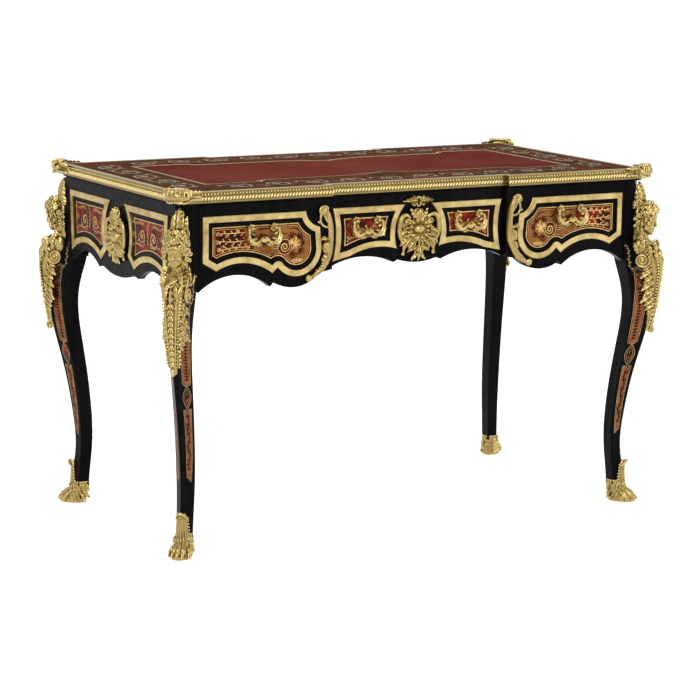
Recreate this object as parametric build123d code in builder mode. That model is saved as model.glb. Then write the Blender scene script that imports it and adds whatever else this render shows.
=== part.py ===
"""A Louis XV style writing desk with three frieze drawers and Boulle marquetry.

Millimetres, +Z up. The origin is on the floor under the middle of the desk.
The drawers open towards -Y, and the back repeats the front without drawers.
"""

import os
from math import sqrt

from build123d import *

# Top
top_width = 1182
top_depth = 609
top_height = 780
moulding_height = 24
moulding_thickness = 14
veneer_thickness = 2.5
leather_thickness = 2.2
lip = 0.5                  # the moulding stands above the veneer
core_foot_height = 4       # black slip seen under the moulding
core_foot_inset = 6
border_width = 106         # marquetry between moulding and leather, at the sides
leather_half_depth = 185
leather_step = 25
leather_step_x = 330
leather_cusp_y = 128
leather_cusp_half = 120

# Frieze
front_overhang = 7.5       # the top stands past the face of the side sections
side_overhang = 4
recess = 15                # the middle section stands back
break_x = 221
post_size = 44
post_cant = 17
panel_thickness = 15
front_thickness = 20
frieze_top = top_height - moulding_height - core_foot_height
drawer_gap = 1.5
rail_thickness = 28
top_rail_height = 20
bearer_drop = 112
bearer_height = 18
divider_thickness = 16
runner_width = 52
guide_height = 18
divider_x = break_x + 1

# Drawer boxes
box_board = 10
box_height = 82
box_clearance = 2
box_end_gap = 27           # behind a box, to the back panel's middle section
box_float = 0.3
bottom_thickness = 6
bottom_lift = 8
groove = 4

# Brass frames and marquetry
frame_width = 13
frame_relief = 4
frame_chamfer = 1.2
marquetry_inset = 24
marquetry_depth = 1.5
frame_drop = 25

# Handles
handle_side_x = 392
handle_centre_x = 130
handle_drop = 55
post_spacing = 54
post_reach = 11            # from the face to the middle of the bail's pin
rosette_radius = 7
rosette_thickness = 2.5
stem_radius = 3
eye_radius = 5
pin_radius = 1.6
pin_clearance = 0.05
bail_radius = 2.8
bail_gap = 0.7
bail_drop = 36

# Lock
lock_width = 60
lock_height = 36
lock_depth = 10
bolt_width = 16
bolt_thickness = 5
bolt_height = 24
bolt_travel = 6
bolt_clearance = 0.2
mortise_clearance = 1
keyhole_drop = 15
keyhole_radius = 2.2

# Legs
ankle_z = 40
knee_drop = 140            # from the top of the frieze down to the knee
drawn_knee = 612           # the knee height that the leg's sections are drawn for
foot_drop = 184            # the frieze beside a leg
shelf_drop = 154           # the frieze beside the middle section

face_x = top_width / 2 - side_overhang
front_y = top_depth / 2 - front_overhang
centre_y = front_y - recess
drawer_top = frieze_top - drawer_gap
bearer_top = frieze_top - bearer_drop
frame_top = frieze_top - frame_drop
handle_z = frieze_top - handle_drop
keyhole_z = frieze_top - keyhole_drop
knee_top = frieze_top - knee_drop
post_inner_x = face_x - post_size
post_inner_y = front_y - post_size
rail_front = centre_y - front_thickness - 2
rail_back = rail_front - rail_thickness
core_top = top_height - lip - veneer_thickness
front_face = Plane.XZ.offset(front_y)
centre_face = Plane.XZ.offset(centre_y)
side_face = Plane.YZ.offset(face_x)

os.makedirs("parts", exist_ok=True)


def save(piece, name):
    """Label a finished piece and write it."""
    piece.part.label = name
    export_step(piece.part, f"parts/{name}.step")


def mirrored(piece, *planes):
    """The same piece on the other side of each plane in turn."""
    with BuildPart() as copy:
        add(piece.part)
        for plane in planes:
            mirror(about=plane, mode=Mode.REPLACE)
    return copy


def save_pair(piece, name):
    """A right-hand piece and its left-hand mirror image."""
    save(piece, f"{name}_right")
    save(mirrored(piece, Plane.YZ), f"{name}_left")


def save_corners(piece, name):
    """A front right piece and its three mirror images."""
    save(piece, f"{name}_front_right")
    save(mirrored(piece, Plane.YZ), f"{name}_front_left")
    save(mirrored(piece, Plane.XZ), f"{name}_back_right")
    save(mirrored(piece, Plane.YZ, Plane.XZ), f"{name}_back_left")


# ---------------------------------------------------------------- top

def top_points(inset):
    """Plan of the top, with the middle of the front and back set in."""
    half_x = top_width / 2 - inset
    side_y = top_depth / 2 - inset
    middle_y = side_y - recess
    step_x = break_x + inset
    front = [
        (-half_x, -side_y),
        (-step_x, -side_y),
        (-step_x, -middle_y),
        (step_x, -middle_y),
        (step_x, -side_y),
        (half_x, -side_y),
    ]
    return front + [(-x, -y) for x, y in front]


def top_plan(inset):
    """The plan of the top as a face."""
    with BuildSketch() as plan:
        with BuildLine():
            Polyline(*top_points(inset), close=True)
        make_face()
    return plan.sketch


def leather_plan():
    """Writing surface with stepped ends and a pointed middle, front and back."""
    end_x = top_width / 2 - moulding_thickness - border_width
    inner_y = leather_half_depth - leather_step
    with BuildSketch() as plan:
        with BuildLine():
            Line((end_x, 0), (end_x, -leather_half_depth))
            Line((end_x, -leather_half_depth), (leather_step_x, -leather_half_depth))
            RadiusArc(
                (leather_step_x, -leather_half_depth),
                (leather_step_x - leather_step, -inner_y),
                -leather_step,
            )
            Line((leather_step_x - leather_step, -inner_y), (leather_cusp_half, -inner_y))
            RadiusArc((leather_cusp_half, -inner_y), (0, -leather_cusp_y), 3 * leather_cusp_half)
            mirror(about=Plane.YZ)
            mirror(about=Plane.XZ)
        make_face()
    return plan.sketch


with BuildPart() as top_panel:
    with BuildSketch(Plane.XY.offset(frieze_top)):
        add(top_plan(core_foot_inset))
    extrude(amount=core_foot_height)
    with BuildSketch(Plane.XY.offset(frieze_top)):
        add(top_plan(moulding_thickness))
    extrude(amount=core_top - frieze_top)
    with BuildSketch(Plane.XY.offset(frieze_top)):
        with Locations((0, -(centre_y - front_thickness + lock_depth / 2))):
            Rectangle(bolt_width + 2 * mortise_clearance, bolt_thickness + 2 * mortise_clearance)
    extrude(amount=bolt_travel + mortise_clearance, mode=Mode.SUBTRACT)
save(top_panel, "top_panel")

with BuildPart() as writing_leather:
    with BuildSketch(Plane.XY.offset(core_top)):
        add(leather_plan())
    extrude(amount=leather_thickness)
save(writing_leather, "writing_leather")

with BuildPart() as top_marquetry_border:
    with BuildSketch(Plane.XY.offset(core_top)):
        add(top_plan(moulding_thickness))
    extrude(amount=veneer_thickness)
    with BuildSketch(Plane.XY.offset(core_top)):
        add(leather_plan())
    extrude(amount=veneer_thickness, mode=Mode.SUBTRACT)
save(top_marquetry_border, "top_marquetry_border")

moulding_base = top_height - moulding_height
moulding_start = Plane((0, recess - top_depth / 2, moulding_base), x_dir=(0, -1, 0), z_dir=(-1, 0, 0))
with BuildPart() as moulding_ring:
    with BuildLine() as moulding_path:
        Polyline(*[(x, y, moulding_base) for x, y in top_points(0)], close=True)
    with BuildSketch(moulding_start):
        with BuildLine():
            Line((-moulding_thickness, 0), (-3, 0))
            Line((-3, 0), (-3, 4))
            ThreePointArc((-3, 4), (0, 9), (-2, 14))
            RadiusArc((-2, 14), (-5, 20), 8)
            ThreePointArc((-5, 20), (-2, 22), (-4, moulding_height))
            Line((-4, moulding_height), (-moulding_thickness, moulding_height))
            Line((-moulding_thickness, moulding_height), (-moulding_thickness, 0))
        make_face()
    sweep(path=moulding_path.wires()[0], transition=Transition.RIGHT)


def moulding_run(quarter):
    """One side of the edge moulding, cut to a mitre at both corners."""
    with BuildPart() as run:
        add(moulding_ring.part)
        with BuildSketch(Plane.XY.offset(moulding_base)):
            with BuildLine():
                Polyline(*quarter, close=True)
            make_face()
        extrude(amount=moulding_height, mode=Mode.INTERSECT)
    return run


mitre_reach = 50
outer_x = top_width / 2 + mitre_reach
outer_y = top_depth / 2 + mitre_reach
inner_x = outer_x - 3 * mitre_reach
inner_y = outer_y - 3 * mitre_reach
front_corners = [(-outer_x, -outer_y), (outer_x, -outer_y), (inner_x, -inner_y), (-inner_x, -inner_y)]
right_corners = [(outer_x, -outer_y), (outer_x, outer_y), (inner_x, inner_y), (inner_x, -inner_y)]
front_run = moulding_run(front_corners)
right_run = moulding_run(right_corners)
save(front_run, "edge_moulding_front")
save(mirrored(front_run, Plane.XZ), "edge_moulding_back")
save_pair(right_run, "edge_moulding")


# ---------------------------------------------------------------- legs, mounts and feet

def corner_plane(height):
    """Level plane at the post's outer corner, local X pointing out along the diagonal."""
    return Plane((face_x, -front_y, height), x_dir=(1, -1, 0), z_dir=(0, 0, 1))


def leg_section(outer, inner, width, cant):
    """Kite shaped section of the leg: square inside, a narrow flat arris outside."""
    with BuildSketch() as section:
        with BuildLine():
            Polyline(
                (inner, 0),
                (inner + width / 2, -width / 2),
                (outer, -cant / 2),
                (outer, cant / 2),
                (inner + width / 2, width / 2),
                close=True,
            )
        make_face()
    return section.sketch


def rise(height):
    """A drawn height on the leg, stretched to the real knee."""
    return ankle_z + (height - ankle_z) * (knee_top - ankle_z) / (drawn_knee - ankle_z)


diagonal_plane = Plane(corner_plane(0).origin, x_dir=(1, -1, 0), z_dir=(-1, -1, 0))
post_width = post_size * sqrt(2)
post_outer = -post_cant / sqrt(2)
post_section = (post_outer, -post_width, post_width, -2 * post_outer)
leg_stations = (
    (ankle_z, -30, -60, 38, 10),
    (100, -26, -65, 39, 10),
    (170, -28, -69, 42, 10),
    (240, -18, -65, 44, 10),
    (320, -1, -55, 46, 10),
    (400, 21, -42, 49, 10),
    (465, 33, -36, 52, 11),
    (520, 36, -43, 55, 12),
    (570, 24, -57, 58, 16),
)
with BuildPart() as leg:
    for height, *section in leg_stations:
        with BuildSketch(corner_plane(rise(height))):
            add(leg_section(*section))
    loft()
    with BuildSketch(corner_plane(rise(leg_stations[-1][0]))):
        add(leg_section(*leg_stations[-1][1:]))
    with BuildSketch(corner_plane(knee_top)):
        add(leg_section(*post_section))
    loft(ruled=True)
    with BuildSketch(corner_plane(knee_top)):
        add(leg_section(*post_section))
    extrude(amount=frieze_top - knee_top)
save_corners(leg, "leg")

bust_stations = (
    (402, 13, 30, 5),
    (440, 22, 40, 11),
    (480, 26, 48, 17),
    (520, 26, 56, 22),
    (552, 18, 62, 25),
    (588, -10, 50, 30),
    (612, -16, 30, 26),
    (632, -14, 22, 14),
)
head_x = 8
head_z = rise(661)
head_radius = 30
head_half_height = 41
plume_top = frieze_top - 2
volute_radius = 18
volute_x = 11
volute_z = rise(570)
volute_half_length = 32
with BuildPart() as bust_mount:
    for height, inside, outside, half_width in bust_stations:
        with BuildSketch(corner_plane(rise(height))):
            with Locations(((inside + outside) / 2, 0)):
                Ellipse((outside - inside) / 2, half_width)
    loft()
    with BuildSketch(diagonal_plane):
        with Locations((volute_x, volute_z)):
            Circle(volute_radius)
    extrude(amount=volute_half_length, both=True)
    with BuildSketch(diagonal_plane.shift_origin(corner_plane(0).from_local_coords((head_x, 0)))):
        with Locations((0, head_z)):
            Ellipse(head_radius, head_half_height)
        with Locations((-head_radius, head_z)):
            Rectangle(2 * head_radius, 3 * head_half_height, mode=Mode.SUBTRACT)
    revolve(axis=Axis(corner_plane(0).from_local_coords((head_x, 0)), (0, 0, 1)))
    with BuildSketch(corner_plane(head_z + 25)):
        with Locations((-2, 0)):
            Ellipse(14, 22)
    with BuildSketch(corner_plane(plume_top)):
        with Locations((-6, 0)):
            Ellipse(10, 9)
    loft()
    add(leg.part, mode=Mode.SUBTRACT)
save_corners(bust_mount, "bust_mount")


paw_stations = (
    (0, -52, 14, 30),
    (16, -53, 5, 30),
    (42, -60, -12, 22),
    (62, -62, -16, 20),
    (102, -45, -20, 17),
)
paw_back_height = 44
paw_leaf_height = 100
with BuildPart() as paw_foot:
    for height, inside, outside, half_width in paw_stations:
        with BuildSketch(corner_plane(height)):
            with Locations(((inside + outside) / 2, 0)):
                RectangleRounded(outside - inside, 2 * half_width, 0.6 * half_width)
    loft()
    with BuildSketch(diagonal_plane):
        with BuildLine():
            Polyline((-80, paw_back_height), (-45, paw_back_height), (-24, paw_leaf_height),
                     (-24, 120), (-80, 120), close=True)
        make_face()
    extrude(amount=2 * post_width, both=True, mode=Mode.SUBTRACT)
    add(leg.part, mode=Mode.SUBTRACT)
save_corners(paw_foot, "paw_foot")

clasp_base = moulding_base + 2
clasp_top = top_height + 11
clasp_half_width = 37
clasp_seat = 0.05
with BuildPart() as corner_clasp:
    corner = Plane((top_width / 2, -top_depth / 2, clasp_base), x_dir=(1, -1, 0), z_dir=(0, 0, 1))
    with BuildSketch(corner):
        with BuildLine():
            Line((-42, 0), (-42, 20))
            Line((-42, 20), (-32, clasp_half_width))
            Line((-32, clasp_half_width), (-24, clasp_half_width))
            ThreePointArc((-24, clasp_half_width), (4, 16), (20, 0))
            mirror(about=Plane.XZ)
        make_face()
    extrude(amount=clasp_top - clasp_base)
    fillet(corner_clasp.faces().sort_by(Axis.Z)[-1].edges(), radius=4)
    with BuildSketch(Plane.XY.offset(clasp_base)):
        add(top_plan(-clasp_seat))
    extrude(amount=top_height + clasp_seat - clasp_base, mode=Mode.SUBTRACT)
with BuildPart() as corner_clasps:
    add(corner_clasp.part)
    mirror(about=Plane.YZ)
    mirror(about=Plane.XZ)
save(corner_clasps, "corner_clasps")


# ---------------------------------------------------------------- shaped outlines

def below(distance):
    """Height measured down from the top of the frieze."""
    return frieze_top - distance


def side_drawer_front():
    """Face of a side drawer: an arch, then a round lobe beside the middle section."""
    outer_end = post_inner_x - drawer_gap
    inner_end = break_x + drawer_gap / 2
    foot = (outer_end, below(foot_drop))
    point = (break_x + 151, below(182))
    notch = (break_x + 143, below(173))
    shoulder = (break_x + 31, below(160))
    with BuildSketch() as outline:
        with BuildLine():
            Polyline(shoulder, (inner_end, below(shelf_drop)), (inner_end, drawer_top))
            Polyline((inner_end, drawer_top), (outer_end, drawer_top), foot)
            ThreePointArc(foot, ((outer_end + point[0]) / 2, below(152)), point)
            Line(point, notch)
            ThreePointArc(notch, (break_x + 90, below(187)), shoulder)
        make_face()
    return outline.sketch


def middle_drawer_front():
    """Face of the middle drawer: two arches and a round lobe under the cartouche."""
    end_x = break_x - drawer_gap / 2
    foot = (end_x, below(153))
    point = (60, below(151))
    notch = (50, below(146))
    with BuildSketch() as outline:
        with BuildLine():
            Polyline((0, drawer_top), (end_x, drawer_top), foot)
            ThreePointArc(foot, ((end_x + point[0]) / 2, below(134)), point)
            Line(point, notch)
            ThreePointArc(notch, (26, below(152)), (0, below(154)))
            mirror(about=Plane.YZ)
        make_face()
    return outline.sketch


def side_apron():
    """Face of a side panel: an arch beside each leg and a hanging lobe between them."""
    foot = (post_inner_y, below(foot_drop))
    point = (100, below(180))
    notch = (78, below(175))
    with BuildSketch() as outline:
        with BuildLine():
            Polyline((0, frieze_top), (post_inner_y, frieze_top), foot)
            ThreePointArc(foot, ((post_inner_y + point[0]) / 2, below(154)), point)
            Line(point, notch)
            ThreePointArc(notch, (42, below(185)), (0, below(188)))
            mirror(about=Plane.YZ)
        make_face()
    return outline.sketch


def side_drawer_frame():
    """Outline of the brass frame on a side drawer, with a cut corner and a round lobe."""
    outer = post_inner_x - 10
    corner = (break_x + 67, frame_top)
    cut = (break_x + 33, below(59))
    lobe = (break_x + 29, below(102))
    notch = (break_x + 134, below(141))
    point = (break_x + 147, below(153))
    toe = (outer - 32, below(141))
    with BuildSketch() as outline:
        with BuildLine():
            Polyline(toe, (outer, below(122)), (outer, frame_top), corner)
            ThreePointArc(corner, (break_x + 56, below(48)), cut)
            Line(cut, lobe)
            ThreePointArc(lobe, (break_x + 75, below(162)), notch)
            Line(notch, point)
            ThreePointArc(point, ((point[0] + toe[0]) / 2 + 13, below(127)), toe)
        make_face()
    return outline.sketch


def middle_drawer_frame():
    """Outline of the waisted brass frame on the right of the middle drawer."""
    top_outer = (break_x - 5, frame_top)
    top_inner = (33, frame_top)
    low_inner = (53, below(121))
    rise_end = (break_x - 51, below(130))
    low_outer = (break_x - 6, below(140))
    with BuildSketch() as outline:
        with BuildLine():
            Line(top_outer, top_inner)
            ThreePointArc(top_inner, (57, below(72)), low_inner)
            ThreePointArc(low_inner, (110, below(115)), rise_end)
            Line(rise_end, low_outer)
            ThreePointArc(low_outer, (break_x - 14, below(82)), top_outer)
        make_face()
    return outline.sketch


def side_panel_frame():
    """Outline of the brass frame beside the cartouche of a side panel."""
    top_outer = (post_inner_y - 4, frame_top)
    top_inner = (37, frame_top)
    waist_low = (55, below(135))
    point = (85, below(161))
    low_outer = (post_inner_y - 13, below(160))
    with BuildSketch() as outline:
        with BuildLine():
            Polyline(low_outer, top_outer, top_inner)
            ThreePointArc(top_inner, (64, below(84)), waist_low)
            Line(waist_low, point)
            ThreePointArc(point, ((point[0] + low_outer[0]) / 2 - 4, below(136)), low_outer)
        make_face()
    return outline.sketch


def cartouche_outline(half_width, low, high):
    """Rococo shield: a crest, round shoulders, a waist and a pointed foot."""
    tall = high - low
    crest = (0.45 * half_width, high - 0.1 * tall)
    waist = (0.78 * half_width, high - 0.5 * tall)
    skirt = (0.45 * half_width, high - 0.85 * tall)
    with BuildSketch() as outline:
        with BuildLine():
            ThreePointArc((0, high), (0.3 * half_width, high - 0.01 * tall), crest)
            ThreePointArc(crest, (half_width, high - 0.28 * tall), waist)
            ThreePointArc(waist, (0.92 * half_width, high - 0.68 * tall), skirt)
            Line(skirt, (0, low))
            mirror(about=Plane.YZ)
        make_face()
    return outline.sketch


def scroll_outline():
    """C-scroll beside the middle section, from a leaf at the top to a curl at the foot."""
    head = (break_x + 27, below(15))
    head_inner = (break_x + 15, below(15))
    curl = (break_x + 41, below(176))
    tail = (break_x + 57, below(166))
    with BuildSketch() as outline:
        with BuildLine():
            Line(head, head_inner)
            ThreePointArc(head_inner, (break_x + 1.5, below(100)), curl)
            ThreePointArc(curl, (break_x + 51, below(178)), tail)
            ThreePointArc(tail, (break_x + 15, below(102)), head)
        make_face()
    return outline.sketch


def brass_frame(plane, outline):
    """A moulded brass strip laid on the face along an outline."""
    with BuildPart() as strip:
        with BuildSketch(plane):
            add(outline)
        extrude(amount=frame_relief)
        chamfer(strip.faces().sort_by(plane_axis(plane))[-1].edges(), frame_chamfer)
        with BuildSketch(plane):
            add(outline)
            offset(amount=-frame_width, mode=Mode.REPLACE)
        extrude(amount=frame_relief, mode=Mode.SUBTRACT)
    return strip


def plane_axis(plane):
    """Axis along a plane's normal."""
    return Axis(plane.origin, plane.z_dir)


def marquetry_panel(plane, outline):
    """Marquetry let into the wood inside a brass frame, flush with the face."""
    with BuildPart() as panel:
        with BuildSketch(plane):
            add(outline)
            offset(amount=-marquetry_inset, mode=Mode.REPLACE)
        extrude(amount=-marquetry_depth)
    return panel


# ---------------------------------------------------------------- fixed frieze

side_frame = brass_frame(side_face, side_panel_frame())
side_marquetry = marquetry_panel(side_face, side_panel_frame())
drawer_frame = brass_frame(front_face, side_drawer_frame())
drawer_marquetry = marquetry_panel(front_face, side_drawer_frame())
middle_frame = brass_frame(centre_face, middle_drawer_frame())
middle_marquetry = marquetry_panel(centre_face, middle_drawer_frame())

with BuildPart() as posts:
    add(leg.part)
    mirror(about=Plane.YZ)
    mirror(about=Plane.XZ)

with BuildPart() as panel_frames:
    add(side_frame.part)
    mirror(about=Plane.XZ)
    add(mirrored(drawer_frame, Plane.XZ).part)
    add(mirrored(middle_frame, Plane.XZ).part)
    mirror(about=Plane.YZ)
save(panel_frames, "panel_frames")

with BuildPart() as panel_marquetry:
    add(side_marquetry.part)
    mirror(about=Plane.XZ)
    add(mirrored(drawer_marquetry, Plane.XZ).part)
    add(mirrored(middle_marquetry, Plane.XZ).part)
    mirror(about=Plane.YZ)
save(panel_marquetry, "panel_marquetry")

with BuildPart() as side_panel:
    with BuildSketch(side_face):
        add(side_apron())
    extrude(amount=-panel_thickness)
    add(panel_marquetry.part, mode=Mode.SUBTRACT)
save_pair(side_panel, "side_panel")

strip = 10                 # fills the gaps that a drawer front would have
with BuildPart() as back_panel:
    with BuildSketch(front_face):
        add(side_drawer_front())
        with Locations(((post_inner_x + break_x) / 2, below(strip / 2))):
            Rectangle(post_inner_x - break_x, strip)
        with Locations((post_inner_x - strip / 2, below(foot_drop / 2))):
            Rectangle(strip, foot_drop)
        mirror(about=Plane.YZ)
    extrude(amount=-panel_thickness - recess / 3)
    with BuildSketch(centre_face):
        add(middle_drawer_front())
        with Locations((0, below(strip / 2))):
            Rectangle(2 * break_x, strip)
        with Locations((break_x, below(shelf_drop / 2)), (-break_x, below(shelf_drop / 2))):
            Rectangle(strip, shelf_drop)
    extrude(amount=-panel_thickness)
    mirror(about=Plane.XZ, mode=Mode.REPLACE)
    add(panel_marquetry.part, mode=Mode.SUBTRACT)
save(back_panel, "back_panel")

side_rail_x = face_x - panel_thickness
with BuildPart() as top_rail:
    with BuildSketch(Plane.XY.offset(frieze_top - top_rail_height)):
        with Locations((0, -(rail_front + rail_back) / 2)):
            Rectangle(2 * side_rail_x, rail_thickness)
    extrude(amount=top_rail_height)
    add(posts.part, mode=Mode.SUBTRACT)
save(top_rail, "top_rail")

with BuildPart() as bearer_rail:
    with BuildSketch(Plane.XY.offset(bearer_top - bearer_height)):
        with Locations((0, -(rail_front + rail_back) / 2)):
            Rectangle(2 * side_rail_x, rail_thickness)
    extrude(amount=bearer_height)
    add(posts.part, mode=Mode.SUBTRACT)
save(bearer_rail, "bearer_rail")

back_inner_y = centre_y - panel_thickness - recess / 3
with BuildPart() as divider:
    with BuildSketch(Plane.XY.offset(bearer_top)):
        with Locations((divider_x, (back_inner_y - rail_back) / 2)):
            Rectangle(divider_thickness, back_inner_y + rail_back)
    extrude(amount=frieze_top - bearer_top)
save_pair(divider, "divider")

box_outer_end = post_inner_x - 2 * box_clearance
outer_runner_start = box_outer_end - runner_width / 2
with BuildPart() as drawer_runners:
    with BuildSketch(Plane.XY.offset(bearer_top - bearer_height)):
        with Locations((divider_x, (back_inner_y - rail_back) / 2)):
            Rectangle(runner_width, back_inner_y + rail_back)
        with Locations(((outer_runner_start + side_rail_x) / 2, (post_inner_y - rail_back) / 2)):
            Rectangle(side_rail_x - outer_runner_start, post_inner_y + rail_back)
    extrude(amount=bearer_height)
    with BuildSketch(Plane.XY.offset(bearer_top)):
        with Locations(((post_inner_x - box_clearance + side_rail_x) / 2, (post_inner_y - rail_back) / 2)):
            Rectangle(side_rail_x - post_inner_x + box_clearance, post_inner_y + rail_back)
    extrude(amount=guide_height)
    mirror(about=Plane.YZ)
save(drawer_runners, "drawer_runners")

# ---------------------------------------------------------------- gilt mounts on the faces

cartouche_half_width = 52
cartouche_low = below(153)
cartouche_high = below(26)
cartouche_relief = 9
boss_radius = 24
boss_relief = 20
boss_share = 0.51          # height of the boss along the shield
escutcheon_half_width = 38
escutcheon_half_height = 9
side_cartouche_half_width = 47
side_cartouche_low = below(163)
side_cartouche_high = below(31)
scroll_relief = 9


def cartouche(plane, half_width, low, high):
    """A gilt shield with a domed middle, standing on a face."""
    middle = low + (high - low) * boss_share
    ball_radius = (boss_radius**2 + boss_relief**2) / (2 * boss_relief)
    centre = plane.from_local_coords((0, middle, 0))
    with BuildPart() as mount:
        with BuildSketch(plane):
            add(cartouche_outline(half_width, low, high))
        extrude(amount=cartouche_relief)
        with BuildSketch(Plane(centre, x_dir=plane.x_dir, z_dir=-plane.y_dir)):
            with Locations((0, boss_relief - ball_radius)):
                Circle(ball_radius)
            with Locations((0, boss_relief / 2)):
                Rectangle(2 * boss_radius, boss_relief, mode=Mode.INTERSECT)
            with Locations((-boss_radius, 0)):
                Rectangle(2 * boss_radius, 4 * boss_relief, mode=Mode.SUBTRACT)
        revolve(axis=Axis(centre, plane.z_dir))
    return mount


side_cartouche = cartouche(side_face, side_cartouche_half_width, side_cartouche_low, side_cartouche_high)
with BuildPart() as side_cartouches:
    add(side_cartouche.part)
    mirror(about=Plane.YZ)
save(side_cartouches, "side_cartouches")

middle_cartouche = cartouche(centre_face, cartouche_half_width, cartouche_low, cartouche_high)
with BuildPart() as escutcheon:
    with BuildSketch(centre_face):
        with Locations((0, keyhole_z)):
            Ellipse(escutcheon_half_width, escutcheon_half_height)
    extrude(amount=cartouche_relief / 2)
    with BuildSketch(centre_face):
        with Locations((0, keyhole_z)):
            Circle(keyhole_radius)
        with Locations((0, keyhole_z - 1.5 * keyhole_radius)):
            Rectangle(keyhole_radius, 3 * keyhole_radius)
    extrude(amount=cartouche_relief / 2, mode=Mode.SUBTRACT)
save(mirrored(middle_cartouche, Plane.XZ), "back_cartouche")

with BuildPart() as scroll_mount:
    with BuildSketch(front_face):
        add(scroll_outline())
    extrude(amount=scroll_relief)
    add(drawer_frame.part, mode=Mode.SUBTRACT)
with BuildPart() as back_scroll_mounts:
    add(scroll_mount.part)
    mirror(about=Plane.YZ)
    mirror(about=Plane.XZ, mode=Mode.REPLACE)
save(back_scroll_mounts, "back_scroll_mounts")


# ---------------------------------------------------------------- handles

bail_arm_x = post_spacing / 2 + eye_radius + bail_gap + bail_radius


def handle_posts(plane, centre_x):
    """Two turned posts on rosettes, with eyes for the bail's pins."""
    with BuildPart() as posts_pair:
        for x in (centre_x - post_spacing / 2, centre_x + post_spacing / 2):
            with BuildSketch(plane):
                with Locations((x, handle_z)):
                    Circle(rosette_radius)
            extrude(amount=rosette_thickness)
            with BuildSketch(plane):
                with Locations((x, handle_z)):
                    Circle(stem_radius)
            extrude(amount=post_reach)
            with BuildSketch(Plane.YZ.offset(x)):
                with Locations((plane.origin.Y - post_reach, handle_z)):
                    Circle(eye_radius)
            extrude(amount=eye_radius, both=True)
            with BuildSketch(Plane.YZ.offset(x)):
                with Locations((plane.origin.Y - post_reach, handle_z)):
                    Circle(pin_radius + pin_clearance)
            extrude(amount=eye_radius, both=True, mode=Mode.SUBTRACT)
    return posts_pair


def bail(plane, centre_x):
    """A cast swing handle: a shaped bow with a pin turned in at each end."""
    axis_y = plane.origin.Y - post_reach
    hang = Plane((centre_x, axis_y, handle_z), x_dir=(1, 0, 0), z_dir=(0, -1, 0))
    low = -bail_drop
    half = [
        (bail_arm_x, 0),
        (bail_arm_x + 1, 0.55 * low),
        (0.62 * bail_arm_x, 0.95 * low),
        (0.28 * bail_arm_x, 0.8 * low),
    ]
    points = half + [(0, 0.9 * low)] + [(-x, z) for x, z in reversed(half)]
    with BuildPart() as bow:
        with BuildLine(hang) as path:
            FilletPolyline(*points, radius=6)
        with BuildSketch(Plane(path.line @ 0, z_dir=path.line % 0)):
            Circle(bail_radius)
        sweep()
        for side in (-1, 1):
            start = (centre_x + side * (post_spacing / 2 - eye_radius + 1), axis_y, handle_z)
            with BuildSketch(Plane(start, x_dir=(0, 1, 0), z_dir=(side, 0, 0))):
                Circle(pin_radius)
            extrude(amount=bail_arm_x - post_spacing / 2 + eye_radius - 1)
            with Locations((centre_x + side * bail_arm_x, axis_y, handle_z)):
                Sphere(bail_radius)
    return bow


# ---------------------------------------------------------------- drawers

def drawer_bottom(x_low, x_high, y_front):
    """Bottom board, held in grooves of the two sides and the back."""
    set_in = box_board - groove
    with BuildPart() as board:
        with BuildSketch(Plane.XY.offset(box_base + bottom_lift)):
            with Locations(((x_low + x_high) / 2, (y_box_back - set_in - y_front) / 2)):
                Rectangle(x_high - x_low - 2 * set_in, y_box_back - set_in + y_front)
        extrude(amount=bottom_thickness)
    return board


def drawer_box(x_low, x_high, y_front, bottom):
    """Two sides and a back between them, grooved for the bottom."""
    with BuildPart() as box:
        for x in (x_low + box_board / 2, x_high - box_board / 2):
            with BuildSketch(Plane.XY.offset(box_base)):
                with Locations((x, (y_box_back - y_front) / 2)):
                    Rectangle(box_board, y_box_back + y_front)
            extrude(amount=box_height)
        with BuildSketch(Plane.XY.offset(box_base)):
            with Locations(((x_low + x_high) / 2, y_box_back - box_board / 2)):
                Rectangle(x_high - x_low - 2 * box_board, box_board)
        extrude(amount=box_height)
        add(bottom.part, mode=Mode.SUBTRACT)
    return box


box_base = bearer_top + box_float
y_box_back = centre_y - panel_thickness - box_end_gap

side_box_low = divider_x + divider_thickness / 2 + box_clearance
side_box_high = box_outer_end
side_box_front = front_y - front_thickness
middle_box_half = divider_x - divider_thickness / 2 - box_clearance
middle_box_front = centre_y - front_thickness

with BuildPart() as side_front:
    with BuildSketch(front_face):
        add(side_drawer_front())
    extrude(amount=-front_thickness)
    add(drawer_marquetry.part, mode=Mode.SUBTRACT)
side_bottom = drawer_bottom(side_box_low, side_box_high, side_box_front)
side_box = drawer_box(side_box_low, side_box_high, side_box_front, side_bottom)
side_posts = handle_posts(front_face, handle_side_x)
side_bail = bail(front_face, handle_side_x)
side_drawer = {
    "front": side_front,
    "box": side_box,
    "bottom": side_bottom,
    "frame": drawer_frame,
    "marquetry": drawer_marquetry,
    "scroll_mount": scroll_mount,
    "handle_posts": side_posts,
    "bail": side_bail,
}
for name, piece in side_drawer.items():
    save(piece, f"right_drawer_{name}")
    save(mirrored(piece, Plane.YZ), f"left_drawer_{name}")

lock_low = drawer_top - lock_height
bolt_y = -(middle_box_front + lock_depth / 2)
with BuildPart() as lock_case:
    with BuildSketch(Plane.XY.offset(lock_low)):
        with Locations((0, bolt_y)):
            Rectangle(lock_width, lock_depth)
    extrude(amount=lock_height)
    with BuildSketch(Plane.XY.offset(drawer_top - bolt_height)):
        with Locations((0, bolt_y)):
            Rectangle(bolt_width + 2 * bolt_clearance, bolt_thickness + 2 * bolt_clearance)
    extrude(amount=bolt_height, mode=Mode.SUBTRACT)
save(lock_case, "lock_case")

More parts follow.
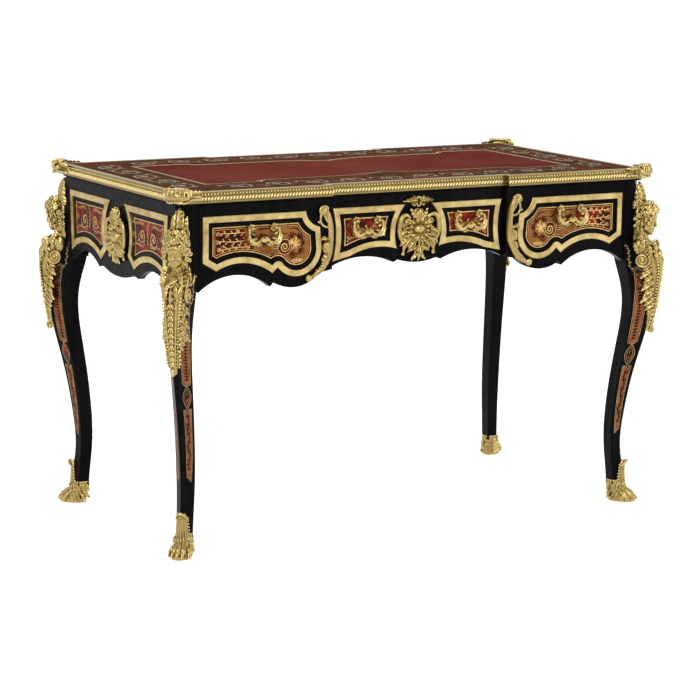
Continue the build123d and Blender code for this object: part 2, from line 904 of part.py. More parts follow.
with BuildPart() as lock_bolt:
    with BuildSketch(Plane.XY.offset(drawer_top - bolt_height)):
        with Locations((0, bolt_y)):
            Rectangle(bolt_width, bolt_thickness)
    extrude(amount=bolt_height)
save(lock_bolt, "lock_bolt")

with BuildPart() as middle_frames:
    add(middle_frame.part)
    mirror(about=Plane.YZ)
save(middle_frames, "middle_drawer_frames")

with BuildPart() as middle_marquetry_pair:
    add(middle_marquetry.part)
    mirror(about=Plane.YZ)
save(middle_marquetry_pair, "middle_drawer_marquetry")

with BuildPart() as middle_front:
    with BuildSketch(centre_face):
        add(middle_drawer_front())
    extrude(amount=-front_thickness)
    add(middle_marquetry_pair.part, mode=Mode.SUBTRACT)
    with BuildSketch(Plane.XY.offset(lock_low)):
        with Locations((0, bolt_y)):
            Rectangle(lock_width, lock_depth)
    extrude(amount=lock_height, mode=Mode.SUBTRACT)
    with BuildSketch(centre_face):
        with Locations((0, keyhole_z)):
            Circle(keyhole_radius)
    extrude(amount=-front_thickness, mode=Mode.SUBTRACT)
save(middle_front, "middle_drawer_front")

middle_bottom = drawer_bottom(-middle_box_half, middle_box_half, middle_box_front)
save(middle_bottom, "middle_drawer_bottom")
save(drawer_box(-middle_box_half, middle_box_half, middle_box_front, middle_bottom), "middle_drawer_box")

with BuildPart() as middle_cartouche_set:
    add(middle_cartouche.part)
    add(escutcheon.part)
save(middle_cartouche_set, "middle_drawer_cartouche")

middle_posts = handle_posts(centre_face, handle_centre_x)
with BuildPart() as middle_handle_posts:
    add(middle_posts.part)
    mirror(about=Plane.YZ)
save(middle_handle_posts, "middle_drawer_handle_posts")
middle_bail = bail(centre_face, handle_centre_x)
save(middle_bail, "middle_drawer_bail_right")
save(mirrored(middle_bail, Plane.YZ), "middle_drawer_bail_left")
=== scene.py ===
"""A Louis XV style writing desk in black wood, red shell and brass, dressed as it is put together."""

from math import atan2, cos, pi, radians, sin

import bmesh
import bpy
from mathutils import Matrix, Vector
from mathutils.bvhtree import BVHTree


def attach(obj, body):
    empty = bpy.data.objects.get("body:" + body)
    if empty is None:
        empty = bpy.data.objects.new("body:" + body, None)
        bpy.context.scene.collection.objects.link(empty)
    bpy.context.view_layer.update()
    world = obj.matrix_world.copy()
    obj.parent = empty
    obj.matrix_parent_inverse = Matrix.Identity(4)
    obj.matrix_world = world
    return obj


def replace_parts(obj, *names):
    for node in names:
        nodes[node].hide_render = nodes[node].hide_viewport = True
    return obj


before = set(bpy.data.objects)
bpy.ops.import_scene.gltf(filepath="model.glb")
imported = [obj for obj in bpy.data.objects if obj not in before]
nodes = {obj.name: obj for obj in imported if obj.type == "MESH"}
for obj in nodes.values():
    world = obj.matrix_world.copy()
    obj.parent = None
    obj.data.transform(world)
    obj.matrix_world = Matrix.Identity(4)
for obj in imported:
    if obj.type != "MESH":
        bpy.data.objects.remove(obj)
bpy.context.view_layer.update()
scene = bpy.context.scene

# ---------------------------------------------------------------- studio
# A pale floor that runs out of sight, one large soft lamp over the left front corner,
# a weaker one on the right, and an even pale sky. Metal sees the same white that shows behind the desk.

white = (1, 1, 1, 1)
sky_light = 0.62
floor_reach = 40
floor_grey = (0.80, 0.80, 0.80, 1)
floor_glow = 0.6
camera_place = (-2.95531, -5.12088, 1.44391)
camera_yaw, camera_pitch, camera_roll = radians(29.96), radians(10.44), radians(0.80)
camera_lens = 134.54
scene.view_settings.view_transform = "Standard"


def feed(tree, node, inputs):
    """Give each input of a node a plain value or another node's output."""
    for name, value in inputs.items():
        if isinstance(value, bpy.types.NodeSocket):
            tree.links.new(value, node.inputs[name])
        else:
            node.inputs[name].default_value = value


def add_node(tree, kind, inputs, **settings):
    """A node with its settings and inputs."""
    made = tree.nodes.new(kind)
    for name, value in settings.items():
        setattr(made, name, value)
    feed(tree, made, inputs)
    return made


def maths(tree, operation, first, second):
    """The result of one sum on two values."""
    return add_node(tree, "ShaderNodeMath", {0: first, 1: second}, operation=operation).outputs[0]


def ranged(tree, value, to_min, to_max, from_min=0.0, from_max=1.0):
    """A value carried from one range to another."""
    spans = {"From Min": from_min, "From Max": from_max, "To Min": to_min, "To Max": to_max}
    return add_node(tree, "ShaderNodeMapRange", {"Value": value, **spans}).outputs["Result"]


def seen_directly(tree):
    """1 for rays that see the background itself or its mirror image, 0 for rays that only light things."""
    path = add_node(tree, "ShaderNodeLightPath", {}).outputs
    either = maths(tree, "MAXIMUM", path["Is Camera Ray"], path["Is Glossy Ray"])
    return maths(tree, "MAXIMUM", either, path["Is Transmission Ray"])


def dress(material, **sockets):
    """Set sockets of a material's Principled shader, each to a value or to a node's output."""
    tree = material.node_tree
    feed(tree, tree.nodes["Principled BSDF"], {name.replace("_", " "): value for name, value in sockets.items()})
    return material


def plain_material(name, **values):
    """A Principled material with even values, and its node tree."""
    material = bpy.data.materials.new(name)
    material.use_nodes = True
    return dress(material, **values), material.node_tree


def placed(name, data):
    """An object for a mesh, a lamp or a camera."""
    made = bpy.data.objects.new(name, data)
    scene.collection.objects.link(made)
    return made


sky = bpy.data.worlds.new("studio_sky")
scene.world = sky
sky.use_nodes = True
tree = sky.node_tree
sky_strength = ranged(tree, seen_directly(tree), sky_light, 1.0)
feed(tree, tree.nodes["Background"], {"Color": white, "Strength": sky_strength})

grid = bmesh.new()
bmesh.ops.create_grid(grid, x_segments=2, y_segments=2, size=floor_reach)
floor_mesh = bpy.data.meshes.new("floor")
grid.to_mesh(floor_mesh)
grid.free()
placed("floor", floor_mesh)
floor_paint, tree = plain_material("pale_floor", Base_Color=floor_grey, Roughness=0.9, Specular_IOR_Level=0.0)
dress(floor_paint, Emission_Color=white, Emission_Strength=maths(tree, "MULTIPLY", seen_directly(tree), floor_glow))
floor_mesh.materials.append(floor_paint)

for name, place, aim, size, power in (
    ("key_lamp", (-2.6, -3.4, 3.2), (0, 0, 0.6), 1.6, 105), ("side_lamp", (3.4, -2.4, 2.2), (0, 0, 0.5), 1.8, 45),
    ("top_lamp", (0.3, 1.6, 3.6), (0, 0, 0.7), 1.6, 45),
):
    lamp = bpy.data.lights.new(name, "AREA")
    lamp.size = size
    lamp.energy = power
    holder = placed(name, lamp)
    holder.location = place
    holder.rotation_euler = (Vector(aim) - Vector(place)).to_track_quat("-Z", "Y").to_euler()

level_forward = Vector((sin(camera_yaw), cos(camera_yaw), 0)) * cos(camera_pitch)
forward = level_forward - Vector((0, 0, sin(camera_pitch)))
level_right = Vector((cos(camera_yaw), -sin(camera_yaw), 0))
level_up = level_right.cross(forward)
camera_right = level_right * cos(camera_roll) + level_up * sin(camera_roll)
camera_up = level_up * cos(camera_roll) - level_right * sin(camera_roll)
camera = placed("camera", bpy.data.cameras.new("camera"))
camera.data.lens = camera_lens
camera_turn = Matrix((camera_right, camera_up, -forward)).transposed()
camera.matrix_world = Matrix.Translation(camera_place) @ camera_turn.to_4x4()
scene.camera = camera

# ---------------------------------------------------------------- black wood carcass
# Pear wood stained black and french polished: legs, aprons, drawer fronts and the core of the top.
# The film of polish is uneven, faintly brown where it is thin, and carries fine swirls from rubbing.


def object_place(tree, scale=(1, 1, 1)):
    """Object coordinates, stretched along each axis."""
    place = add_node(tree, "ShaderNodeTexCoord", {}).outputs["Object"]
    return add_node(tree, "ShaderNodeMapping", {"Vector": place, "Scale": scale}).outputs["Vector"]


def noise(tree, place, scale, detail, **more):
    """The value of a noise texture at a place."""
    inputs = {"Vector": place, "Scale": scale, "Detail": detail, **more}
    return add_node(tree, "ShaderNodeTexNoise", inputs).outputs["Fac"]


def blend(tree, amount, low, high, start=0.0, end=1.0):
    """One colour that turns into another as a mask goes from start to end."""
    ramp = add_node(tree, "ShaderNodeValToRGB", {"Fac": amount})
    for element, place, colour in zip(ramp.color_ramp.elements, (start, end), (low, high)):
        element.position, element.color = place, (*colour, 1)
    return ramp.outputs["Color"]


def bump(tree, height, distance):
    """A normal for a relief of a distance in metres."""
    return add_node(tree, "ShaderNodeBump", {"Height": height, "Distance": distance}).outputs["Normal"]


# Rubbed film: slow waves and fine pimples as heights, and a patchy mask, for any polished or rubbed surface.
rubbed_film = bpy.data.node_groups.new("rubbed_film", "ShaderNodeTree")
for socket, way, kind in (
    ("Place", "INPUT", "Vector"), ("Patch Scale", "INPUT", "Float"), ("Patches", "OUTPUT", "Float"),
    ("Film", "OUTPUT", "Float"),
):
    rubbed_film.interface.new_socket(socket, in_out=way, socket_type=f"NodeSocket{kind}")
film_in = rubbed_film.nodes.new("NodeGroupInput").outputs
film_waves = noise(rubbed_film, film_in["Place"], 30.0, 1.0)
film_pimples = maths(rubbed_film, "MULTIPLY", noise(rubbed_film, film_in["Place"], 700.0, 2.0), 0.06)
feed(rubbed_film, rubbed_film.nodes.new("NodeGroupOutput"), {
    "Patches": noise(rubbed_film, film_in["Place"], film_in["Patch Scale"], 5.0, Roughness=0.6),
    "Film": maths(rubbed_film, "ADD", film_waves, film_pimples),
})


def film_on(tree, patch_scale):
    """The patches and the relief of the rubbed film on a material."""
    inputs = {"Place": object_place(tree), "Patch Scale": patch_scale}
    film = add_node(tree, "ShaderNodeGroup", inputs, node_tree=rubbed_film)
    return film.outputs["Patches"], film.outputs["Film"]


black_polish, tree = plain_material("black_polish", Specular_IOR_Level=0.04)
patches, film = film_on(tree, 9.0)
thin_polish = maths(tree, "MULTIPLY", patches, noise(tree, object_place(tree, (90, 90, 7)), 1.0, 6.0))
dress(
    black_polish, Base_Color=blend(tree, thin_polish, (0.0012, 0.0012, 0.0016), (0.0085, 0.0062, 0.0056), 0.18, 0.50),
    Roughness=ranged(tree, patches, 0.2, 0.42), Normal=bump(tree, film, 0.0011),
)


def finish_nodes(names, material):
    """Give CAD nodes their material."""
    for name in names:
        nodes[name].data.materials.clear()
        nodes[name].data.materials.append(material)


corners = [f"{depth}_{side}" for depth in ("front", "back") for side in ("left", "right")]
drawers = ("left_drawer", "middle_drawer", "right_drawer")
finish_nodes([f"leg_{corner}" for corner in corners] + [f"{drawer}_front" for drawer in drawers], black_polish)
finish_nodes(["top_panel", "side_panel_left", "side_panel_right", "back_panel"], black_polish)

# ---------------------------------------------------------------- oak carcass and drawer boxes
# Quarter sawn oak, planed and left bare inside: rails, dividers and runners fixed to the carcass,
# and three boxes whose bottoms slide in grooves. Broad grain with open pores that follow the board.


def oak_along(name, squeeze):
    """Oak whose grain runs along the axis with the smallest squeeze."""
    oak, tree = plain_material(name, Specular_IOR_Level=0.3)
    grain = noise(tree, object_place(tree, squeeze), 1.0, 8.0, Roughness=0.62, Distortion=0.6)
    pores = noise(tree, object_place(tree, [9 * s for s in squeeze]), 1.0, 2.0)
    return dress(
        oak, Base_Color=blend(tree, grain, (0.27, 0.15, 0.07), (0.46, 0.29, 0.15), 0.3, 0.68),
        Roughness=ranged(tree, grain, 0.55, 0.75), Normal=bump(tree, ranged(tree, pores, 0, 1, 0.3, 0.5), 0.0003),
    )


oak_across = oak_along("oak_across", (3, 60, 60))
oak_deep = oak_along("oak_deep", (60, 3, 60))
finish_nodes(["top_rail", "bearer_rail"] + [f"{drawer}_bottom" for drawer in drawers], oak_across)
finish_nodes(["divider_left", "divider_right", "drawer_runners"] + [f"{drawer}_box" for drawer in drawers], oak_deep)

# ---------------------------------------------------------------- writing leather
# Goat skin dyed oxblood, pared thin and glued into the top, then tooled with gold leaf:
# a broad fillet at the edge and a fine one inside it. Worn a little paler where hands rest.


def front_of(node, direction):
    """The flat faces of a CAD node that look one way, merged into whole outlines, in a bmesh of their own."""
    found = bmesh.new()
    found.from_mesh(nodes[node].data)
    bmesh.ops.remove_doubles(found, verts=found.verts, dist=1e-6)
    away = [f for f in found.faces if f.normal.dot(Vector(direction)) < 0.999]
    bmesh.ops.delete(found, geom=away, context="FACES")
    bmesh.ops.dissolve_limit(found, angle_limit=0.01, verts=found.verts, edges=found.edges)
    return found


def inset(shape, width):
    """Draw every outline in by a width, and return the faces of the rim that this leaves."""
    return bmesh.ops.inset_region(
        shape, faces=shape.faces[:], thickness=width, use_even_offset=True, use_boundary=True,
    )["faces"]


def thickened(shape, offset):
    """Extrude all faces by an offset, keep the first ones where they are, and return the moved corners."""
    made = bmesh.ops.extrude_face_region(shape, geom=shape.faces[:], use_keep_orig=True)["geom"]
    moved = [v for v in made if isinstance(v, bmesh.types.BMVert)]
    bmesh.ops.translate(shape, verts=moved, vec=offset)
    return moved


def raised(shape, height, sunk):
    """Give flat faces a thickness towards the side that they face, with their backs sunk a little."""
    shape.normal_update()
    faces = shape.faces[:]
    out = faces[0].normal.copy()
    fronts = set(thickened(shape, out * height))
    bmesh.ops.translate(shape, verts=[v for v in shape.verts if v not in fronts], vec=out * -sunk)
    bmesh.ops.reverse_faces(shape, faces=faces)
    return shape


def fillet_line(shape, start, width, height):
    """Turn each outline into a closed raised line that follows its edge."""
    if start:
        bmesh.ops.delete(shape, geom=inset(shape, start), context="FACES")
    middle = shape.faces[:]
    inset(shape, width)
    bmesh.ops.delete(shape, geom=middle, context="FACES")
    return raised(shape, height, 0.0002)


def finished(shape, name, body, material, smooth=False):
    """The finished piece: a bmesh in metres, riding on its body, with its finish."""
    mesh = bpy.data.meshes.new(name)
    shape.to_mesh(mesh)
    shape.free()
    mesh.materials.append(material)
    for polygon in mesh.polygons:
        polygon.use_smooth = smooth
    piece = placed(name, mesh)
    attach(piece, body)
    return piece


leather, tree = plain_material("oxblood_leather", Specular_IOR_Level=0.0)
place = object_place(tree)
hide_patches = maths(tree, "MULTIPLY", noise(tree, place, 4.5, 4.0, Roughness=0.55), 0.75)
hide_specks = maths(tree, "MULTIPLY", noise(tree, place, 160.0, 3.0), 0.25)
hide_tone = maths(tree, "ADD", hide_patches, hide_specks)
pebbles = add_node(tree, "ShaderNodeTexVoronoi", {"Vector": place, "Scale": 700.0}, feature="DISTANCE_TO_EDGE")
dress(
    leather, Base_Color=blend(tree, hide_tone, (0.100, 0.021, 0.016), (0.175, 0.046, 0.036), 0.34, 0.66),
    Roughness=ranged(tree, hide_tone, 0.62, 0.46),
    Normal=bump(tree, ranged(tree, pebbles.outputs["Distance"], 0, 1, 0, 0.25), 0.00025),
)
finish_nodes(["writing_leather"], leather)

gold_leaf, tree = plain_material("tooled_gold_leaf", Metallic=0.9, Specular_IOR_Level=0.5)
patches = film_on(tree, 60.0)[0]
leaf_colour = blend(tree, patches, (0.42, 0.27, 0.13), (0.72, 0.55, 0.30))
dress(gold_leaf, Base_Color=leaf_colour, Roughness=ranged(tree, patches, 0.5, 0.3))
for name, start, width in (("leather_gilt_fillet", 0.0012, 0.0034), ("leather_fine_fillet", 0.0085, 0.0009)):
    fillet = fillet_line(front_of("writing_leather", (0, 0, 1)), start, width, 0.00012)
    finished(fillet, name, "desk", gold_leaf)

# ---------------------------------------------------------------- marquetry border of the top
# Boulle work: a sheet of turtle shell over red, cut together with a sheet of brass and glued as veneer.
# A running scroll goes round the leather between brass stringing lines, then all is scraped flush.


def shell_material(name, red, dark, dark_share, gloss_level):
    """Clouded shell over a red ground under a hard polish."""
    shell, tree = plain_material(name, Specular_IOR_Level=gloss_level)
    clouds = noise(tree, object_place(tree), 26.0, 5.0, Roughness=0.62, Distortion=1.2)
    patches, film = film_on(tree, 14.0)
    return dress(
        shell, Base_Color=blend(tree, clouds, dark, red, dark_share - 0.09, dark_share + 0.07),
        Roughness=ranged(tree, patches, 0.22, 0.4), Normal=bump(tree, film, 0.0006),
    )


def inlay_brass_material(name, bright, dull):
    """Thin sheet brass, scraped flush: fine scratches in many directions and soft tarnish."""
    brass, tree = plain_material(name, Metallic=1.0)
    scratches = noise(tree, object_place(tree, (160, 160, 1600)), 1.0, 3.0)
    colour = blend(tree, film_on(tree, 55.0)[0], dull, bright, 0.3, 0.6)
    return dress(brass, Base_Color=colour, Roughness=ranged(tree, scratches, 0.3, 0.55))


border_shell = shell_material("border_shell", (0.120, 0.040, 0.020), (0.050, 0.036, 0.020), 0.50, 0.0)
finish_nodes(["top_marquetry_border"], border_shell)
border_brass = inlay_brass_material("border_inlay_brass", (0.15, 0.112, 0.07), (0.11, 0.078, 0.05))


def compass(degrees):
    """The level direction at an angle."""
    return Vector((cos(radians(degrees)), sin(radians(degrees)), 0))


def ribbon(shape, path, widths, layer=0.0):
    """A flat strip of brass along a path in the panel's plane, as wide at each point as the list says."""
    if not hasattr(widths, "__len__"):
        widths = [widths] * len(path)
    edges = []
    for i, point in enumerate(path):
        ahead = path[min(i + 1, len(path) - 1)] - path[max(i - 1, 0)]
        across = Vector((-ahead.y, ahead.x)).normalized() * widths[i] / 2
        edges.append([shape.verts.new((*(point + side * across), layer)) for side in (1, -1)])
    for (a, b), (c, d) in zip(edges, edges[1:]):
        shape.faces.new((a, b, d, c))


def spiral(centre, radius, start, turns, end_radius=0.12, steps=22):
    """Points of a tightening scroll. The start is in degrees, and negative turns go clockwise."""
    count = max(4, int(abs(turns) * steps))
    points = []
    for i in range(count + 1):
        share = i / count
        angle = radians(start) + 2 * pi * turns * share
        reach = radius * (1 - (1 - end_radius) * share ** 0.8)
        points.append(Vector(centre) + reach * Vector((cos(angle), sin(angle))))
    return points


def swelling(count, thin, thick):
    """Widths that swell from thin to thick and back along a stem."""
    return [thin + (thick - thin) * sin(pi * i / (count - 1)) ** 0.8 for i in range(count)]


def lobed(count, width, lobes):
    """Widths of a leaf with lobes along both edges, ending in a point."""
    widths = []
    for share in (i / (count - 1) for i in range(count)):
        body = sin(pi * share ** 0.75) ** 0.7
        widths.append(max(0.06 * width, width * body * (0.68 + 0.32 * abs(cos(pi * lobes * share)))))
    return widths


def bent_line(start, end, bow, count=12):
    """Points from start to end, bowed to the left by a share of the length."""
    start, along = Vector(start), Vector(end) - Vector(start)
    aside = Vector((-along.y, along.x)) * bow
    return [start + along * t + aside * sin(pi * t) for t in (i / (count - 1) for i in range(count))]


def leaf_scroll(shape, centre, radius, start, turns, weight, layer=0.0):
    """A brass scroll: a swelling stem that curls up round a bud, with leaves breaking from its back."""
    way = 1 if turns > 0 else -1
    heavy = weight * radius
    path = spiral(centre, radius, start, turns)
    ribbon(shape, path, swelling(len(path), 0.05 * heavy, 0.17 * heavy), layer)
    bud = Vector(centre)
    for i in range(5):
        tip = bud + 0.24 * radius * compass(start + 72 * i).xy
        ribbon(shape, bent_line(bud, tip, 0.1, 5), lobed(5, 0.16 * heavy, 1), layer + 0.01 + 0.002 * i)
    for i, share in enumerate((0.10, 0.24, 0.40)):
        root = path[int(share * (len(path) - 1))]
        out = (root - bud).normalized()
        aside = Vector((-out.y, out.x)) * way
        tip = root + (out * 0.62 - aside * 0.10 + aside * 0.75 * share) * radius * (0.62 - 0.5 * share)
        spine = bent_line(root - out * 0.05 * radius, tip, -0.24 * way)
        ribbon(shape, spine, lobed(len(spine), 0.30 * heavy * (1 - share), 3), layer + 0.03 + 0.004 * i)
    root = path[int(0.5 * (len(path) - 1))]
    inner = bent_line(root, bud + (root - bud) * 0.35, 0.3 * way, 8)
    ribbon(shape, inner, lobed(8, 0.16 * heavy, 2), layer + 0.045)


def running_scroll(shape, pitch, count, height, weight):
    """Scrolls one after another along a straight band, turning up and down by turns."""
    for i in range(count):
        way = 1 if i % 2 else -1
        before = len(shape.verts)
        leaf_scroll(shape, (0, 0), pitch * 0.5, 180, 1.6 * way, weight, 0.05 * (i % 2))
        shape.verts.ensure_lookup_table()
        for vertex in shape.verts[before:]:
            vertex.co.y = vertex.co.y * height / pitch + 0.06 * way * height
            vertex.co.x += (i + 0.5 - count / 2) * pitch


def add_copy(target, shape, matrix=None):
    """Put a copy of one bmesh into another."""
    scratch = bpy.data.meshes.new("scratch")
    shape.to_mesh(scratch)
    if matrix:
        scratch.transform(matrix)
        if matrix.determinant() < 0:
            scratch.flip_normals()
    target.from_mesh(scratch)
    bpy.data.meshes.remove(scratch)


def lay_on(shape, plane, thickness):
    """Move flat work drawn in millimetres on to its plane, in metres, and give it its thickness."""
    bmesh.ops.recalc_face_normals(shape, faces=shape.faces)
    for face in shape.faces:
        if face.normal.z < 0:
            face.normal_flip()
    faces = shape.faces[:]
    thickened(shape, (0, 0, thickness))
    for face in faces:
        face.normal_flip()
    bmesh.ops.transform(shape, matrix=to_metres @ plane, verts=shape.verts)
    if plane.determinant() < 0:
        bmesh.ops.reverse_faces(shape, faces=shape.faces)
    return shape


to_metres = Matrix.Scale(0.001, 4)
upright = Matrix.Rotation(pi / 2, 4, "X")
top_half_x = 577
top_half_y = 290.5
break_half = 221
break_depth = 15
break_margin = 14
leather_half_x = 471
veneer_top = 779.5
band_pitch = 92
border = bmesh.new()
for turn in (0, pi):
    for count, height, distance, quarter in ((10, 66, 228, 0), (5, 74, (leather_half_x + top_half_x) / 2, pi / 2)):
        run = bmesh.new()
        running_scroll(run, band_pitch, count, height, 0.8)
        add_copy(border, run, Matrix.Rotation(turn + quarter, 4, "Z") @ Matrix.Translation((0, -distance, 0)))
        run.free()
lay_on(border, Matrix.Translation((0, 0, veneer_top)), 0.12)
finished(border, "top_border_scrolls", "desk", border_brass)

step_x = break_half + break_margin
for name, start, width in (("top_outer_stringing", 0.004, 0.0022), ("top_fine_stringing", 0.0095, 0.0008)):
    edge = bmesh.new()
    rim = [(-top_half_x, -top_half_y), (-step_x, -top_half_y), (-step_x, break_depth - top_half_y),
           (step_x, break_depth - top_half_y), (step_x, -top_half_y), (top_half_x, -top_half_y)]
    rim += [(-x, -y) for x, y in rim]
    edge.faces.new([edge.verts.new((x / 1000, y / 1000, veneer_top / 1000)) for x, y in rim])
    finished(fillet_line(edge, start, width, 0.00015), name, "desk", border_brass)
leather_rim = front_of("writing_leather", (0, 0, 1))
bmesh.ops.translate(leather_rim, verts=leather_rim.verts, vec=(0, 0, 0.0003))
finished(fillet_line(leather_rim, 0, 0.0010, 0.00025), "leather_stringing", "desk", border_brass)

# ---------------------------------------------------------------- brass frames
# Drawn brass strip, hammered to the outline, mitred at the corners and pinned through to the wood.
# Left a shade paler than the cast mounts, brushed along its length and darkened where polish gathers.

strip_brass, tree = plain_material("strip_brass", Metallic=1.0)
patches, film = film_on(tree, 38.0)
dress(
    strip_brass, Base_Color=blend(tree, patches, (0.33, 0.22, 0.075), (0.60, 0.465, 0.205), 0.28, 0.62),
    Roughness=ranged(tree, patches, 0.46, 0.27), Normal=bump(tree, film, 0.0016),
)
finish_nodes(["panel_frames", "left_drawer_frame", "right_drawer_frame", "middle_drawer_frames"], strip_brass)

# ---------------------------------------------------------------- frieze marquetry
# Panels of red shell and brass let flush into the drawer fronts, the sides and the back.
# The side drawers have fine scrolls, a bold leaf spray and, in the round lobe, shell let into brass.

frieze_shell = shell_material("frieze_shell", (0.27, 0.020, 0.008), (0.030, 0.005, 0.003), 0.52, 0.06)
finish_nodes([f"{drawer}_marquetry" for drawer in drawers] + ["panel_marquetry"], frieze_shell)
frieze_brass = inlay_brass_material("frieze_inlay_brass", (0.68, 0.45, 0.165), (0.44, 0.24, 0.08))
lobe_brass = inlay_brass_material("lobe_brass", (0.27, 0.115, 0.032), (0.15, 0.048, 0.014))
lobe_shell = shell_material("lobe_shell", (0.085, 0.011, 0.006), (0.018, 0.005, 0.003), 0.50, 0.06)


def leaf_spray(shape, root, heading, reach, weight, layer):
    """A bold acanthus spray: five lobed leaves that fan from one root and roll over at their tips."""
    for i, turn in enumerate((-70, -34, 0, 36, 72)):
        way = 1 if turn > 0 else -1
        tip = Vector(root) + reach * (1 - 0.0028 * abs(turn)) * compass(heading + turn).xy
        height = layer + 0.012 * i
        ribbon(shape, bent_line(root, tip, -0.22 * way, 14), lobed(14, weight * reach * 0.34, 4), height)
        curl = spiral(tip, 0.16 * reach, heading + turn + 180 + 20 * way, -1.1 * way)
        ribbon(shape, curl, 0.11 * reach * weight, height + 0.006)


def curve_through(points, count):
    """Evenly counted points on the smooth curve that the given points steer."""
    found = []
    for share in (i / (count - 1) for i in range(count)):
        row = [Vector(p) for p in points]
        while len(row) > 1:
            row = [a.lerp(b, share) for a, b in zip(row, row[1:])]
        found.append(row[0])
    return found


def tendril(shape, points, weight, layer):
    """A thin stem along a curve, with flame shaped leaves on both sides and a curled tip."""
    path = curve_through(points, 31)
    ribbon(shape, path, swelling(31, 0.6 * weight, 1.3 * weight), layer)
    for i in range(2, 29, 3):
        along = (path[i + 1] - path[i - 1]).normalized()
        way = 1 if (i // 3) % 2 else -1
        out = Vector((-along.y, along.x)) * way
        tip = path[i] + (along * 0.9 + out) * (4.4 - 0.06 * i) * weight
        ribbon(shape, bent_line(path[i], tip, 0.28 * way, 6), lobed(6, 2.0 * weight, 1), layer + 0.004 * i)
    ribbon(shape, spiral(path[-1], 3.4 * weight, 200, -1.3, 0.2, 12), 0.9 * weight, layer + 0.06)


def foliage(shape, scrolls=(), tendrils=(), sprays=()):
    """Scrolls, tendrils and leaf sprays, each from a table of its measures."""
    for maker, table in ((leaf_scroll, scrolls), (tendril, tendrils), (leaf_spray, sprays)):
        for measures in table:
            maker(shape, *measures)


# Fine brass of a right hand side drawer: flame leaved tendrils that run from the bail to the outer end.
side_drawer_work = {
    "tendrils": (
        ([(418, 682), (436, 699), (458, 680), (480, 694), (497, 688)], 1.6, 0),
        ([(418, 671), (440, 676), (462, 662), (484, 678), (499, 671)], 1.7, 0.07),
        ([(418, 662), (436, 652), (456, 668), (476, 652), (494, 655)], 1.6, 0.14),
    ),
    "scrolls": [(place, radius, start, turns, 1.1, 0.2) for place, radius, start, turns in (
        ((429, 687), 6, 250, 1.4), ((427, 659), 5.5, 100, -1.4), ((451, 693), 4.5, 200, -1.3),
        ((455, 656), 5, 60, 1.4), ((484, 663), 4.5, 20, -1.3), ((476, 684), 5, 180, 1.3),
    )],
}
# The right hand panel of the middle drawer: thin scrolls round the bail.
middle_drawer_work = {
    "scrolls": [(place, radius, start, turns, 0.9, layer) for place, radius, start, turns, layer in (
        ((106, 680), 11, 200, -1.7, 0), ((154, 678), 11.5, 340, 1.7, 0), ((85, 688), 6.5, 250, 1.5, 0.1),
        ((85, 671), 5.5, 110, -1.5, 0.1), ((174, 687), 6.5, 290, -1.5, 0.1), ((174, 662), 6.5, 70, 1.5, 0.1),
    )],
    "tendrils": (
        ([(128, 668), (116, 674), (110, 690), (94, 694)], 0.8, 0.16),
        ([(132, 668), (144, 674), (150, 690), (166, 694)], 0.8, 0.16),
        ([(134, 666), (150, 658), (162, 668), (176, 653)], 0.75, 0.22),
    ),
    "sprays": (((130, 665), 90, 19, 0.7, 0.28),),
}
# A side panel: two facing scrolls and the tendrils that fill its corners.
side_panel_work = {
    "scrolls": (
        ((176, 666), 20, 10, -1.8, 0.75, 0), ((120, 669), 18, 170, 1.8, 0.75, 0.08),
        ((213, 670), 8, 200, -1.5, 0.9, 0.24), ((83, 668), 8, 340, -1.5, 0.9, 0.24),
    ),
    "tendrils": (
        ([(148, 650), (152, 672), (140, 688), (156, 700)], 1.0, 0.16),
        ([(158, 650), (190, 642), (196, 660), (216, 644)], 0.95, 0.16),
        ([(136, 652), (112, 640), (98, 656), (78, 644)], 0.95, 0.16),
        ([(168, 692), (190, 702), (200, 684), (218, 694)], 0.95, 0.2),
        ([(130, 692), (112, 702), (98, 688), (78, 694)], 0.95, 0.2),
    ),
}
# Shell let into the brass lobe of a side drawer, and the brighter brass that lies among it.
lobe_shell_work = {"sprays": [(root, heading, reach, 1.1, 0.26) for root, heading, reach in (
    ((318, 672), 55, 13), ((306, 670), 130, 12), ((316, 642), 290, 13), ((304, 646), 215, 12),
    ((298, 660), 180, 10), ((388, 672), 95, 12), ((388, 668), 300, 11),
)]}
lobe_slits = (
    [(326, 690), (316, 696), (304, 690), (300, 680)], [(330, 634), (320, 626), (308, 622), (298, 630)],
    [(346, 694), (352, 684), (342, 678), (330, 682)], [(402, 690), (396, 698), (384, 694), (372, 694)],
)
lobe_bosses = (((338, 653), 16, 130, 1.9), ((360.5, 662), 11, 20, -1.7))
lobe_dots = (((394, 682), 3.4, 0.34), ((379, 668), 3.2, 0.36))
lobe_gilding_work = {
    "sprays": (((318, 661), 200, 15, 1.0, 0.42), ((318, 661), 20, 9, 0.9, 0.46)),
    "tendrils": (([(322, 622), (310, 618), (304, 628), (298, 622)], 1.2, 0.44),),
}


def lobe_scrolls(shape):
    """The shell of the lobe: two round bosses, foliage, slits and dots."""
    foliage(shape, **lobe_shell_work)
    for points in lobe_slits:
        ribbon(shape, curve_through(points, 20), swelling(20, 0.8, 2.8), 0.34)
    for centre, radius, layer in [(*boss[:2], 0.24) for boss in lobe_bosses] + list(lobe_dots):
        matrix = Matrix.Translation((*centre, layer))
        bmesh.ops.create_circle(shape, cap_ends=True, segments=28, radius=radius, matrix=matrix)


def lobe_rings(shape):
    """The brass rings and spirals that lie on the round bosses of shell."""
    for i, (centre, radius, start, turns) in enumerate(lobe_bosses):
        ribbon(shape, spiral(centre, radius, 0, 1, 1.0, 30), 1.1, 0.40 + 0.02 * i)
        path = spiral(centre, radius * 0.82, start, turns)
        ribbon(shape, path, swelling(len(path), 0.06 * radius, 0.17 * radius), 0.44 + 0.02 * i)


